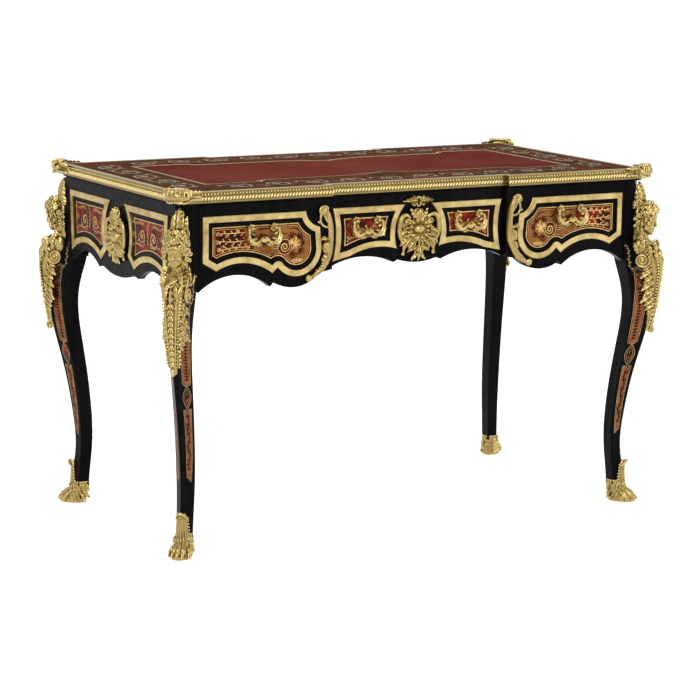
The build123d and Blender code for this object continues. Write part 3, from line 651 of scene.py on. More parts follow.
def cut(shape, place, normal, drop=True, close=False):
    """Cut along a plane, and drop what lies on its outer side or close the holes if asked."""
    bmesh.ops.bisect_plane(
        shape, geom=[*shape.verts, *shape.edges, *shape.faces], plane_co=place, plane_no=normal, clear_outer=drop,
    )
    if close:
        bmesh.ops.holes_fill(shape, edges=[e for e in shape.edges if e.is_boundary])
    return shape


def lobe_plate(node, direction, side):
    """The brass sheet of the lobe, cut from the panel's own outline."""
    sheet = front_of(node, direction)
    bmesh.ops.delete(sheet, geom=inset(sheet, lobe_margin), context="FACES")
    cut(sheet, (side * lobe_outer_x, 0, 0.66), (side, 0, 0.08))
    cut(sheet, (side * lobe_inner_x, 0, 0), (-side, 0, 0))
    return raised(sheet, 0.00022, 0.0001)


def inlay(name, body, work, planes, material):
    """One piece of flat work, drawn from its tables or by its function, and laid on each of its planes."""
    whole = bmesh.new()
    for plane in planes:
        drawn = bmesh.new()
        if callable(work):
            work(drawn)
        else:
            foliage(drawn, **work)
        add_copy(whole, lay_on(drawn, plane, scroll_proud))
        drawn.free()
    finished(whole, name, body, material)


def edge_line(name, body, node, directions, start, width, material):
    """A line let in along the edge of a CAD panel, on the faces that look each way."""
    whole = bmesh.new()
    for direction in directions:
        run = fillet_line(front_of(node, direction), start, width, line_proud)
        add_copy(whole, run)
        run.free()
    finished(whole, name, body, material)


scroll_proud = 0.10              # in millimetres, as the drawings are
line_proud = 0.0003              # in metres, as the outlines cut from CAD nodes are
lobe_margin, lobe_inner_x, lobe_outer_x = 0.0058, 0.262, 0.411
both = (-1, 1)
flip_x = Matrix.Scale(-1, 4, (1, 0, 0))
flip_y = Matrix.Scale(-1, 4, (0, 1, 0))
face_x, face_y = 587, 297        # faces of the frieze, in millimetres from the middle of the desk
centre_y = 282                   # the middle drawer's front stands further back
front_plane = Matrix.Translation((0, -face_y, 0)) @ upright
centre_plane = Matrix.Translation((0, -centre_y, 0)) @ upright
side_plane = Matrix.Translation((face_x, 0, 0)) @ Matrix.Rotation(pi / 2, 4, "Z") @ upright
side_drawer_pieces = (
    ("brass_scrolls", side_drawer_work, frieze_brass), ("lobe_scrolls", lobe_scrolls, lobe_shell),
    ("lobe_rings", lobe_rings, frieze_brass), ("lobe_gilding", lobe_gilding_work, frieze_brass),
)
for side, sign, flip in (("right", 1, Matrix.Identity(4)), ("left", -1, flip_x)):
    drawer = f"{side}_drawer"
    for name, work, material in side_drawer_pieces:
        inlay(f"{drawer}_{name}", drawer, work, [flip @ front_plane], material)
    plate = lobe_plate(f"{drawer}_marquetry", (0, -1, 0), sign)
    finished(plate, f"{drawer}_brass_lobe", drawer, lobe_brass)
    for line, start, width, material in (
        ("edge_line", 0, 0.0019, frieze_brass), ("dark_line", 0.0023, 0.0022, lobe_shell),
        ("fine_line", 0.0048, 0.0009, frieze_brass), ("inner_line", 0.0062, 0.0010, lobe_shell),
    ):
        edge_line(f"{drawer}_{line}", drawer, f"{drawer}_marquetry", [(0, -1, 0)], start, width, material)

pair = [centre_plane, flip_x @ centre_plane]
inlay("middle_drawer_brass_scrolls", "middle_drawer", middle_drawer_work, pair, frieze_brass)
edge_line("middle_drawer_edge_line", "middle_drawer", "middle_drawer_marquetry", [(0, -1, 0)], 0, 0.0021, frieze_brass)

side_planes = [side_plane, flip_y @ side_plane, flip_x @ side_plane, flip_x @ flip_y @ side_plane]
inlay("side_panel_brass_scrolls", "desk", side_panel_work, side_planes, frieze_brass)
for name, work, material in side_drawer_pieces:
    back_name = f"back_panel_{name}"
    inlay(back_name, "desk", work, [flip_y @ front_plane, flip_x @ flip_y @ front_plane], material)
inlay("back_middle_brass_scrolls", "desk", middle_drawer_work, [flip_y @ plane for plane in pair], frieze_brass)
back_plate = bmesh.new()
for sign in both:
    plate = lobe_plate("panel_marquetry", (0, 1, 0), sign)
    add_copy(back_plate, plate)
    plate.free()
finished(back_plate, "back_panel_brass_lobes", "desk", lobe_brass)
facing = [(1, 0, 0), (-1, 0, 0), (0, 1, 0)]
edge_line("fixed_panel_edge_lines", "desk", "panel_marquetry", facing, 0, 0.0019, frieze_brass)

# ---------------------------------------------------------------- gilt bronze
# The mounts are cast in bronze, chased and gilt. Their hollows are painted olive brown as shade and their
# high points painted bright as highlight, and the skin has the soft pits of a casting.

# Painted shade: the olive brown given to the hollows of the chased mounts.
painted_hollow_shade = (0.045, 0.027, 0.006, 1)


def mixed(tree, factor, first, second):
    """Two colours mixed by a mask."""
    return add_node(tree, "ShaderNodeMix", {0: factor, 6: first, 7: second}, data_type="RGBA").outputs[2]


def gilt_material(name, low, high, painted_relief_light=False):
    """Gilding over bronze; where asked, painted shade darkens the hollows and a painted highlight brightens the
    crests.
    """
    gilt, tree = plain_material(name, Metallic=1.0)
    patches = film_on(tree, 45.0)[0]
    middle = [(2 * a + b) / 3 for a, b in zip(low, high)]
    colour = mixed(tree, patches, (*low, 1), (*middle, 1))
    if painted_relief_light:
        # Pointiness paints shade into the hollows and a highlight on the crests.
        curve = add_node(tree, "ShaderNodeNewGeometry", {}).outputs["Pointiness"]
        hollow_shade_mask, crest_highlight_mask = ranged(tree, curve, 0, 1, 0.43, 0.503), ranged(tree, curve, 0, 1, 0.51, 0.57)
        colour = mixed(tree, hollow_shade_mask, painted_hollow_shade, mixed(tree, crest_highlight_mask, colour, (*high, 1)))
    pits = noise(tree, object_place(tree), 420.0, 3.0)
    return dress(
        gilt, Base_Color=colour, Roughness=ranged(tree, patches, 0.42, 0.24), Normal=bump(tree, pits, 0.00045),
    )


gilt_bronze = gilt_material("gilt_bronze", (0.26, 0.178, 0.046), (0.76, 0.61, 0.275), True)
finish_nodes([f"{mount}_{corner}" for mount in ("bust_mount", "paw_foot") for corner in corners], gilt_bronze)
finish_nodes([f"{drawer}_handle_posts" for drawer in drawers], gilt_bronze)
finish_nodes([f"{side}_drawer_{part}" for side in ("left", "right") for part in ("bail", "scroll_mount")], gilt_bronze)
finish_nodes([f"middle_drawer_{part}" for part in ("cartouche", "bail_left", "bail_right")], gilt_bronze)
finish_nodes(["corner_clasps", "back_scroll_mounts", "side_cartouches", "back_cartouche"], gilt_bronze)
moulding_gilt = gilt_material("moulding_gilt", (0.19, 0.135, 0.042), (0.60, 0.48, 0.22))
finish_nodes([f"edge_moulding_{side}" for side in ("front", "back", "left", "right")], moulding_gilt)

# ---------------------------------------------------------------- corner busts
# Each knee carries a gilt bronze bust of a woman with a tall leaf headdress over a tapering console.
# Cast hollow in one piece with its volutes and acanthus, chased, and screwed to the corner of the leg.


def rod(shape, points, radii, bends=3):
    """A rod of changing thickness along a smooth line, closed at both ends."""
    line = bpy.data.curves.new("rod", "CURVE")
    line.dimensions = "3D"
    line.bevel_depth = 1
    line.bevel_resolution = 3
    line.use_fill_caps = True
    line.resolution_u = bends
    spline = line.splines.new("NURBS")
    spline.points.add(len(points) - 1)
    if not hasattr(radii, "__len__"):
        radii = [radii] * len(points)
    for place, point, radius in zip(spline.points, points, radii):
        place.co = (*point, 1)
        place.radius = radius
    spline.order_u = 3
    spline.use_endpoint_u = True
    holder = bpy.data.objects.new("rod", line)
    scratch = bpy.data.meshes.new_from_object(holder)
    shape.from_mesh(scratch)
    bpy.data.objects.remove(holder)
    bpy.data.curves.remove(line)
    bpy.data.meshes.remove(scratch)


def taper(shape, points, thick, loss, bends=3):
    """A rod that loses the same thickness from each point to the next."""
    rod(shape, points, [thick - loss * i for i in range(len(points))], bends)


def ball(shape, centre, radii, fineness=3):
    """A ball, or an egg where the radii differ."""
    if not hasattr(radii, "__len__"):
        radii = (radii, radii, radii)
    matrix = Matrix.Translation(centre) @ Matrix.Diagonal((*radii, 1))
    bmesh.ops.create_icosphere(shape, subdivisions=fineness, radius=1, matrix=matrix)


def leaf(shape, points, out, width, lobes, cup, thickness, rows=12):
    """A chased acanthus leaf: a raised rib, hollow lobes and a thick skin, along a curved spine."""
    spine = curve_through(points, rows + 1)
    out = Vector(out).normalized()
    part = bmesh.new()
    bmesh.ops.create_grid(part, x_segments=8, y_segments=rows, size=1)
    for vertex in part.verts:
        side, share = vertex.co.x, (vertex.co.y + 1) / 2
        place = share * rows
        low = min(int(place + 1e-6), rows - 1)
        centre = spine[low].lerp(spine[low + 1], place - low)
        along = (spine[low + 1] - spine[low]).normalized()
        sideways = along.cross(out)
        sideways = sideways.normalized() if sideways.length > 1e-3 else Vector((0, 1, 0))
        rise = sideways.cross(along)
        body = sin(pi * (0.08 + 0.92 * share) ** 0.85) ** 0.65 if share < 0.999 else 0.03
        notch = abs(cos(pi * lobes * share))
        half = 0.5 * width * max(0.05, body) * (1 - 0.34 * (1 - notch) * abs(side))
        rib = 0.16 * max(0, 1 - 3.2 * abs(side))
        groove = -0.10 * (1 - notch) * abs(side) * 2
        vertex.co = centre + sideways * side * half + rise * half * (cup * (1 - side * side) + rib + groove) * 2
    part.normal_update()
    thickened(part, -out * thickness)
    bmesh.ops.recalc_face_normals(part, faces=part.faces)
    add_copy(shape, part)
    part.free()


def lofted(shape, stations, sides=20):
    """A level sided body through ellipses: (height, middle, half depth, half width)."""
    part = bmesh.new()
    rim = before = None
    for height, middle, deep, wide in stations:
        after = Matrix.Translation((middle, 0, height)) @ Matrix.Diagonal((deep, wide, 1, 1))
        if rim is None:
            bmesh.ops.create_circle(part, segments=sides, radius=1, cap_ends=True, matrix=after)
            rim = part.edges[:]
        else:
            grown = bmesh.ops.extrude_edge_only(part, edges=rim)["geom"]
            verts = [v for v in grown if isinstance(v, bmesh.types.BMVert)]
            bmesh.ops.transform(part, matrix=after @ before.inverted(), verts=verts)
            rim = [e for e in grown if isinstance(e, bmesh.types.BMEdge) and all(v in verts for v in e.verts)]
        before = after
    bmesh.ops.contextual_create(part, geom=rim)
    bmesh.ops.recalc_face_normals(part, faces=part.faces)
    add_copy(shape, part)
    part.free()


def volute(centre, radius, start, turns, across, up, end_radius=0.15, steps=14):
    """Points of a scroll that lies in the plane of two directions."""
    flat = spiral((0, 0), radius, start, turns, end_radius, steps)
    return [Vector(centre) + Vector(across) * p.x + Vector(up) * p.y for p in flat]


def cast(shape, voxel, smoothing=2):
    """Melt overlapping solids into one skin, as a casting has, in millimetres, and thin out its faces."""
    mesh = bpy.data.meshes.new("casting")
    shape.to_mesh(mesh)
    shape.free()
    holder = placed("casting", mesh)
    skin = holder.modifiers.new("skin", "REMESH")
    skin.mode = "VOXEL"
    skin.voxel_size = voxel
    soften = holder.modifiers.new("soften", "SMOOTH")
    soften.factor = 0.5
    soften.iterations = smoothing
    holder.modifiers.new("thin", "DECIMATE").ratio = kept_faces
    skinned = bpy.data.meshes.new_from_object(holder.evaluated_get(bpy.context.evaluated_depsgraph_get()))
    bpy.data.objects.remove(holder)
    bpy.data.meshes.remove(mesh)
    result = bmesh.new()
    result.from_mesh(skinned)
    bpy.data.meshes.remove(skinned)
    return result


def between(table, height):
    """The value at a height, on straight lines between the (height, value) pairs of a table."""
    for (low, a), (high, b) in zip(table, table[1:]):
        if low <= height <= high:
            return a + (b - a) * ((height - low) / (high - low))
    return table[0][1] if height < table[0][0] else table[-1][1]


def mirrored(points, side):
    """Points with their second measure turned to a side."""
    return [(x, side * y, z) for x, y, z in points]


kept_faces = 0.35
outward, sideward, upward = Vector((1, 0, 0)), Vector((0, 1, 0)), Vector((0, 0, 1))
console_front = [(400, 31), (420, 36), (445, 40), (470, 45), (500, 49), (550, 54), (580, 49), (600, 41), (620, 24)]
console_half = [(400, 5), (440, 9), (480, 12.5), (520, 16), (550, 19), (585, 22), (605, 23), (620, 14)]
leg_front = [(400, 21), (465, 33), (520, 36), (570, 24), (612, -12), (752, -12)]
side_leaves = (
    (562, 18, 16), (550, 28, 19), (536, 22, 17), (524, 31, 19), (508, 26, 17), (497, 33, 17), (483, 21, 15),
    (470, 17, 13), (456, 10, 11), (446, 7, 9), (436, 5, 8), (427, 4, 7),
)

bust = bmesh.new()
console = []
for height in range(404, 622, 12):
    back, face = between(leg_front, height) - 4, between(console_front, height) - 2.5
    console.append((height, (back + face) / 2, (face - back) / 2, 0.95 * between(console_half, height)))
lofted(bust, console)
for side in both:
    rim = [(between(console_front, z) - 0.8, side * 0.66 * between(console_half, z), z) for z in range(566, 404, -12)]
    taper(bust, rim, 2.2, 0.06)
    for i, height in enumerate(range(568, 414, -7)):
        place = (between(console_front, height) - 4, side * 0.98 * between(console_half, height), height)
        ball(bust, place, 2.6 - 0.045 * i, 2)
    for i, (height, reach, width) in enumerate(side_leaves):
        cant = between(leg_front, height)
        path = [
            (cant + 0.7 * (lift - share * reach), side * (5 + 0.7 * (lift + share * reach)),
             height - share * (0.5 * reach + 7))
            for share, lift in ((-0.15, 8), (0.3, 9), (0.7, 6), (1.05, 1.5))
        ]
        rod(bust, [(x - 3.5, side * (abs(y) - 3.5), z) for x, y, z in path[:3]], [6.5, 5.5, 3.4], 2)
        leaf(bust, path, (0.7, 0.7 * side, 0.1), 1.2 * width, 3, 0.12, 3)
        x, y, z = path[1]
        bud = volute((x + 2, y + 2 * side, z + 3), 0.26 * width, 60 * i, 1.2, (-0.7, 0.7 * side, 0), upward)
        taper(bust, bud, 1.9, 0.05, 2)
        for j in range(4):
            x, y, z = Vector(path[1]).lerp(Vector(path[3]), 0.2 * j)
            ball(bust, (x + 0.3, y + 0.3 * side, z + (3.6 - 0.6 * j) * (-1) ** j), 2.1, 2)
    taper(bust, volute((12, side * 24, 571), 18.5, 35, -2.3, outward, upward, 0.16, 18), 3.6, 0.045)
    ball(bust, (12, side * 20, 571), (17, 5, 17))
    ball(bust, (12, side * 24.5, 571), 3.6, 2)
    ball(bust, (2, side * 15, 600), (14, 12, 20))
    arm = [(22, 23, 584), (34, 23, 596), (45, 18, 588), (52, 13, 566), (53, 10, 545)]
    rod(bust, mirrored(arm, side), [3.6, 3.6, 3.4, 3.0, 2.2])
    for points, width in (
        ([(4, 25, 588), (-4, 31, 598), (-2, 33, 606), (-10, 30, 612)], 12),
        ([(20, 24, 606), (30, 28, 604), (34, 28, 594), (30, 25, 580)], 13),
        ([(6, 22, 618), (14, 29, 617), (18, 31, 606), (12, 28, 592)], 14),
        ([(30, 12, 614), (40, 19, 612), (44, 21, 602), (40, 19, 588)], 12),
        ([(44, 6, 594), (50, 11, 588), (52, 13, 576), (51, 10, 562)], 11),
        ([(38, 19, 592), (44, 20, 586), (46, 17, 574), (46, 13, 558)], 11),
        ([(-2, 17, 626), (6, 24, 628), (12, 27, 620), (10, 25, 608)], 13),
    ):
        leaf(bust, mirrored(points, side), (0.7, side * 0.7, 0.1), width, 3, 0.35, 2)
    ball(bust, (10, side * 17, 603), (15, 11, 11))
for i in range(12):
    height, small = 556 - 12.4 * i, 1 - 0.05 * i
    face = between(console_front, height)
    for turn in (-1, 1, 0):
        spine = [(face - 1.5, turn * 1.5, height), (face + 2, turn * 4.5 * small, height - 4),
                 (face + 2, turn * 6 * small, height - 9), (face - 1, turn * 4.5 * small, height - 13)]
        leaf(bust, spine, outward, 8 * small, 1, 0.35, 2, 8)
taper(bust, volute((33, 0, 408), 7, 60, -1.4, outward, upward), 4.2, 0.1)
ball(bust, (32, 0, 407), (4, 6.5, 5), 2)

# Bodice, sash, neck and necklace.
ball(bust, (22, 0, 592), (21, 22, 21))
for side in both:
    ball(bust, (34, side * 8.5, 591), (10, 9, 10))
for drop, tilt in ((0, 16), (7, 15), (14, 12)):
    sash = [(20, -23, 611), (38, -13, 607), (47, 0, 597), (45, 13, 590 + tilt / 4), (30, 23, 578 + tilt / 2)]
    rod(bust, [(x, y, z - drop) for x, y, z in sash], [2.0, 2.4, 2.6, 2.4, 1.8])
leaf(bust, [(43, 0, 588), (49, 0, 580), (53, 0, 568), (53, 0, 550)], outward, 19, 3, 0.3, 2)
rod(bust, [(6, 0, 606), (9, 0, 622), (13, 0, 640)], [15, 11.5, 10.5])
for way in (compass(-112 + 16 * i) for i in range(15)):
    ball(bust, (9 + 13.6 * way.x, 14 * way.y, 617 - 2.5 * way.x), 1.9, 2)

# Hair behind the neck, which falls in waves from the crown to the shoulders, and curls round the crown.
ball(bust, (0, 0, 650), (12, 15, 38))
for side in both:
    ball(bust, (3, side * 12, 638), (10, 8, 24))
    for i in range(6):
        back = 5 - 3.0 * i
        strand = [
            (back + 2, 16 - 1.2 * i, 676), (back + 5, 20 - 1.2 * i, 660), (back, 18 - i, 646),
            (back + 3, 19.5 - i, 632), (back - 2, 18 - i, 620), (back + 2, 17 - 0.8 * i, 608),
        ]
        rod(bust, mirrored(strand, side), [2.4, 3.0, 2.8, 3.0, 2.6, 1.6])
    for along, aside, height, size in (
        (2, 22, 672, 7), (14, 23, 662, 6.5), (1, 21, 656, 6.5), (11, 20, 647, 6), (2, 19, 641, 6), (8, 17.5, 632, 5.5),
        (-6, 18, 664, 6), (-6, 17, 648, 5.5),
    ):
        taper(bust, volute((along, side * aside, height), size, 200, 1.4 * side, outward, upward), 2.2, 0.05, 2)
        ball(bust, (along, side * (aside - 2.5), height), (size * 0.8, 3, size * 0.8), 2)
for centre, radii in (
    ((17, 0, 685), (21, 22, 15)), ((32, 0, 685), (11, 15, 11)), ((-3, 0, 693), (12, 16, 16)),
    ((-5, 0, 679), (9, 16, 14)),
):
    ball(bust, centre, radii)
for height, deep, wide, count, size in (
    (691, 22, 24, 9, 6), (699, 15, 18, 8, 5.6), (681, 24, 27, 8, 6), (685, 27, 19, 7, 5),
):
    for i in range(count):
        out = compass(-104 + 208 * i / (count - 1)) + Vector((0, 0, 0.25))
        place = Vector((15 + deep * out.x, wide * out.y, height + 2 * (i % 2)))
        curl = volute(place, size, 60 * i, 1.3 * (-1) ** i, (-out.y, out.x, 0), (-0.3 * out.x, -0.3 * out.y, 1))
        taper(bust, curl, 2.2, 0.05, 2)
        ball(bust, place - out * 3, size * 0.8, 2)

# The head, in its own millimetres: forward, to its left, and up. It leans a little forward.
head = bmesh.new()
for centre, radii, fineness in (
    ((-2, 0, 6), (23, 21, 25), 3), ((6, 0, -5), (14, 16.5, 25), 4), ((8, 0, 8), (13.5, 16, 13), 4),
    ((9, 0, -17.5), (11, 12, 12), 4), ((14, 0, -23), (6, 7.5, 6.5), 3),
):
    ball(head, centre, radii, fineness)
rod(head, [(19.6, 0, 5), (21.2, 0, -1), (24.2, 0, -8)], [1.9, 1.9, 2.3])
ball(head, (23.8, 0, -8.4), 2.2, 2)
upper_lip = [(18.4, -5.0, -15.2), (21.0, -1.7, -14.2), (20.8, 0, -14.6), (21.0, 1.7, -14.2), (18.4, 5.0, -15.2)]
rod(head, upper_lip, [0.6, 1.2, 1.1, 1.2, 0.6])
rod(head, [(18.4, -4.0, -16.0), (20.9, 0, -17.1), (18.4, 4.0, -16.0)], [0.7, 1.6, 0.7])
for side in both:
    ball(head, (11.8, side * 8.6, -7.5), (7.0, 6.2, 8))
    rod(head, mirrored([(15.0, 13.5, 2.6), (18.8, 8, 5.2), (19.9, 3, 4.2)], side), [0.9, 1.2, 0.9])
    ball(head, (15.9, side * 6.6, -0.4), 3.2, 2)
    rod(head, mirrored([(17.6, 3.0, -0.6), (19.8, 6.6, 2.2), (16.2, 10.6, -0.4)], side), [0.6, 0.8, 0.6])
    rod(head, mirrored([(17.6, 3.2, -1.0), (19.4, 6.6, -3.0), (16.2, 10.4, -0.8)], side), [0.5, 0.6, 0.5])
    ball(head, (21.0, side * 2.3, -8.9), 1.6, 2)
    for i in range(7):
        lift = 3.4 * i
        lock = [
            (19.5 - 2.6 * i, 0.8, 17 + 1.8 * i), (19 - 2.4 * i, 7 + i, 15.5 + 1.6 * i),
            (14 - 2.3 * i, 15.5 + 0.8 * i, 8 + lift * 0.8), (9 - 2.3 * i, 20 + 0.4 * i, 0 + lift * 0.6),
            (2 - 2.0 * i, 21.5 + 0.2 * i, -10 + 0.3 * lift),
        ]
        rod(head, mirrored(lock, side), [1.2, 2.3, 2.7, 2.5, 2.0], 4)
    for ahead, aside, height, size in (
        (15, 15.5, 16, 5), (11.5, 21, 9, 5), (8.5, 24, -1, 5.4), (5, 25.5, -12, 5), (2, 27, 6, 6), (-2, 24.5, 17, 6),
        (6, 18, 23, 5.4), (10, 9, 26, 5), (-5, 28, -4, 6), (-4, 26, -17, 5.4),
    ):
        place = (ahead, side * aside, height)
        taper(head, volute(place, size, 200, 1.3 * side, (-0.45, side * 0.9, 0), (-0.2, 0, 1)), 2.2, 0.05, 2)
        ball(head, (ahead - 3.5, side * (aside - 2), height), size * 0.75, 2)
add_copy(bust, head, Matrix.Translation((16, 0, 658)) @ Matrix.Rotation(radians(9), 4, "Y"))
head.free()

# The headdress: tall ribbed leaves with notched edges, the middle one highest.
lofted(bust, [(690, 0, 12, 15), (706, -6, 8, 11), (724, -9, 5, 7.5), (742, -10.5, 2.6, 3)])
for low_aside, base, high_aside, top, ahead, width, notches in (
    (17, 688, 17, 708, -12, 11, 3), (15, 692, 16, 732, -6, 13, 4), (8, 698, 8, 743, 1, 13, 4),
    (10, 690, 13, 712, 6, 12, 3), (0, 696, 0, 749.5, 5, 18, 5),
):
    for side in (both if high_aside else (1,)):
        rise = top - base
        spine = [
            (ahead, low_aside, base), (ahead + 1, low_aside - 1, base + 0.4 * rise),
            (0.4 * ahead - 7, 0.5 * low_aside + 0.3 * high_aside, base + 0.8 * rise),
            (0.4 * ahead - 6, high_aside, top),
        ]
        leaf(bust, mirrored(spine, side), (1, side * low_aside / 12, 0.15), width, notches, 0.4, 3.4, 16)

corner_plane = Matrix.Translation((face_x, -face_y, 0)) @ Matrix.Rotation(radians(-45), 4, "Z")
corner_flips = {
    "front_right": Matrix.Identity(4), "front_left": flip_x, "back_right": flip_y, "back_left": flip_x @ flip_y,
}


def mounted(casting, planes, name, body, *cad_names, metal=gilt_bronze):
    """A casting screwed to each of its planes, standing for the CAD nodes."""
    whole = bmesh.new()
    for plane in planes:
        add_copy(whole, casting, to_metres @ plane)
    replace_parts(finished(whole, name, body, metal, True), *cad_names)


def on_corners(casting, name, cad_name):
    """The same casting at each of the four corners, standing for the CAD node of that corner."""
    for corner, flip in corner_flips.items():
        mounted(casting, [flip @ corner_plane], f"{name}_{corner}_casting", "desk", f"{cad_name}_{corner}")
    casting.free()


on_corners(cast(bust, 0.85), "bust", "bust_mount")

# ---------------------------------------------------------------- paw feet
# Gilt bronze paws slip over the toes of the legs like shoes. Each has five clawed toes, tufts of fur
# at the sides, a palmette rising up the cant of the leg, and a pin from behind holds it.

paw = bmesh.new()
lofted(paw, [(-0.8, -21, 31, 21.5), (6, -21, 31.5, 22.5), (14, -25, 28, 20.5), (26, -32, 23, 19), (38, -37, 19.5, 18),
             (50, -39, 18.5, 18)], 28)
lofted(paw, [(36, -28, 12, 15), (52, -26, 9, 13), (76, -25, 7.6, 11.5), (88, -24, 7.6, 11), (96, -21, 6, 8)])
for turn in (-1, -0.5, 0, 0.5, 1):
    y, x = 21.5 * turn, 11 - 15 * turn * turn
    toe = [(x - 22, 0.45 * y, 32), (x - 12, 0.8 * y, 22), (x - 5, 0.95 * y, 14), (x - 2, y, 8), (x - 1, y, 3)]
    rod(paw, toe, [2, 4.6, 5.2, 4.8, 3.5])
    ball(paw, (x - 9, 0.86 * y, 19.5), (5.4, 4.4, 4.6), 2)
    ball(paw, (x - 2, y, 11), (4.6, 4, 4), 2)
    rod(paw, [(x - 1, y, 14), (x + 3.2, 1.03 * y, 11), (x + 4.6, 1.04 * y, 4)], [2.6, 2.2, 0.9])
    rod(paw, [(x - 20, 0.72 * y - 3, 28), (x - 12, 0.9 * y - 4.4, 19), (x - 7, y - 4.8, 11)], [1.2, 1.8, 1.2], 2)
for i in range(9):
    out = compass(22 * (i - 4))
    root = Vector((-30 + 10 * out.x, 13 * out.y, 47))
    tuft = [root + out * reach - upward * drop for reach, drop in ((0, 0), (1.5, 6), (4, 12), (9 - 3 * (i % 2), 20))]
    leaf(paw, tuft, out + upward * 0.3, 9, 2, 0.4, 2, 8)
for side in both:
    for row in range(4):
        for i in range(4):
            place = -20 - 9 * i - 4.5 * (row % 2)
            height, half = 44 - 9.5 * row, 16 + 0.9 * row - 0.8 * i
            tuft = [(place + 3, half - 2, height), (place + 1, half + 0.4, height - 3),
                    (place - 2, half + 0.8, height - 7), (place - 5, half - 0.6, height - 10)]
            leaf(paw, mirrored(tuft, side), (0.1, side, 0.1), 8, 1, 0.5, 2, 8)
    for i in range(6):
        ball(paw, (-30 + 0.7 * i, side * (14 - 0.5 * i), 51 + 7 * i), 2.5, 2)
for out in (compass(130 + 33 * i) for i in range(4)):
    for height, deep in ((44, 16), (32, 15.5), (20, 14)):
        x, y = -39 + deep * out.x, deep * out.y
        tuft = [(0.95 * (x + 39) - 39, 0.95 * y, height), (x, y, height - 3), (x, y, height - 8),
                (x + 1, 0.94 * y, height - 12)]
        leaf(paw, tuft, (x + 39, y, 0), 9, 1, 0.5, 2, 8)
for out in (compass(22 * (i - 3)) for i in range(7)):
    top = 97 - 14 * out.y ** 2
    stations = (42, 12, 15), (58, 9.6, 13), (76, 8.6, 12), (top - 7, 9.6, 11.5), (top, 12, 11.5)
    rod(paw, [(-26 + deep * out.x, wide * out.y, z) for z, deep, wide in stations], [0.9, 1.2, 1.2, 1.6, 2])
ball(paw, (-22, 0, 90), (8, 10, 7))
lip = [(-26 + 14 * out.x, 13 * out.y, 96 - 13 * out.y ** 2) for out in (compass(18 * (i - 5)) for i in range(11))]
rod(paw, lip, [1.8, 2.2, 2.6, 3.2, 3.8, 4.2, 3.8, 3.2, 2.6, 2.2, 1.8])
for out in (compass(90 + 18 * i) for i in range(11)):
    ball(paw, (-39 + 18.2 * out.x, 17.6 * out.y, 49), 1.9, 2)
on_corners(cut(cast(paw, 0.85), (0, 0, 0.02), (0, 0, -1), close=True), "paw", "paw_foot")

# ---------------------------------------------------------------- corner clasps
# A gilt cabochon in a leafy frame caps each corner of the top. It hides the mitre of the mouldings
# and is screwed to the edge through the hollows of its leaves.

clasp_base, clasp_top = 758, 791
clasp = bmesh.new()
ball(clasp, (5, 0, 773), (18, 27, 15))
ball(clasp, (15, 0, 774), (10, 14, 9))
for ring in (0.35, 0.6, 0.85):
    around = [(24.5 - 6 * ring ** 2, 15 * ring * out.x, 774 + 9.5 * ring * out.y)
              for out in (compass(a) for a in range(0, 361, 30))]
    rod(clasp, around, 1.3)
for angle in (2 * pi * i / 22 for i in range(22)):
    ball(clasp, (19 - 3 * abs(cos(angle)), 18 * cos(angle), 774 + 12.5 * sin(angle)), 2.4, 2)
for x, y in (compass(-72 + 18 * i).xy for i in range(9)):
    y *= 1.25
    spine = [(2 + 8 * x, 12 * y, 787), (4 + 12 * x, 18 * y, 788), (5 + 16 * x, 24 * y, 783), (5 + 19 * x, 27 * y, 775)]
    leaf(clasp, spine, (x, y, 1), 10, 2, 0.35, 2, 8)
for x, y in (compass(-84 + 21 * i).xy for i in range(9)):
    y *= 1.2
    rod(clasp, [(-6, 0, 788), (-6 + 9 * x, 10 * y, 789), (-2 + 14 * x, 19 * y, 785)], [1.6, 2.2, 1.8], 2)
for side in both:
    along, out = Vector((-0.7071, side * 0.7071, 0)), Vector((0.7071, side * 0.7071, 0))
    point = Vector((5.5, side * 2, 769))
    rod(clasp, [point + along * reach for reach in (8, 24, 40, 52)], [11, 9, 6, 3], 4)
    for start, length, width in ((10, 24, 17), (20, 24, 14), (30, 22, 11)):
        for height, tip in ((777, 3), (768, -3)):
            root = point + along * start + out * 7 + Vector((0, 0, height - 769))
            spine = [root + along * length * share + out * lift + Vector((0, 0, rise * tip))
                     for share, lift, rise in ((0, 0, 0), (0.35, 3, 1), (0.7, 1, 1.6), (1, -3, 1))]
            leaf(clasp, spine, out + upward * 0.3, width * 0.8, 3, 0.35, 2, 10)
    taper(clasp, volute(point + along * 20 + out * 8 + upward * 5, 7, 180, -1.3 * side, along, upward), 2.8, 0.06)
    rod(clasp, mirrored([(20, 6, 762), (18, 14, 760), (8, 24, 762), (0, 30, 768)], side), [2.4, 3, 2.6, 1.6])
clasp_casting = cast(clasp, 0.85)
clasps = bmesh.new()
for flip in corner_flips.values():
    add_copy(clasps, clasp_casting, to_metres @ flip @ corner_plane)
clasp_casting.free()
for way, level in ((-1, clasp_base), (1, clasp_top)):
    cut(clasps, (0, 0, level / 1000), (0, 0, way), close=True)
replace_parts(finished(clasps, "clasp_castings", "desk", gilt_bronze, True), "corner_clasps")

# ---------------------------------------------------------------- chased edge mouldings
# Brass mouldings run round the top between the clasps. A slanted gadroon is chased along the swell,
# with a row of small darts in the hollow above it.

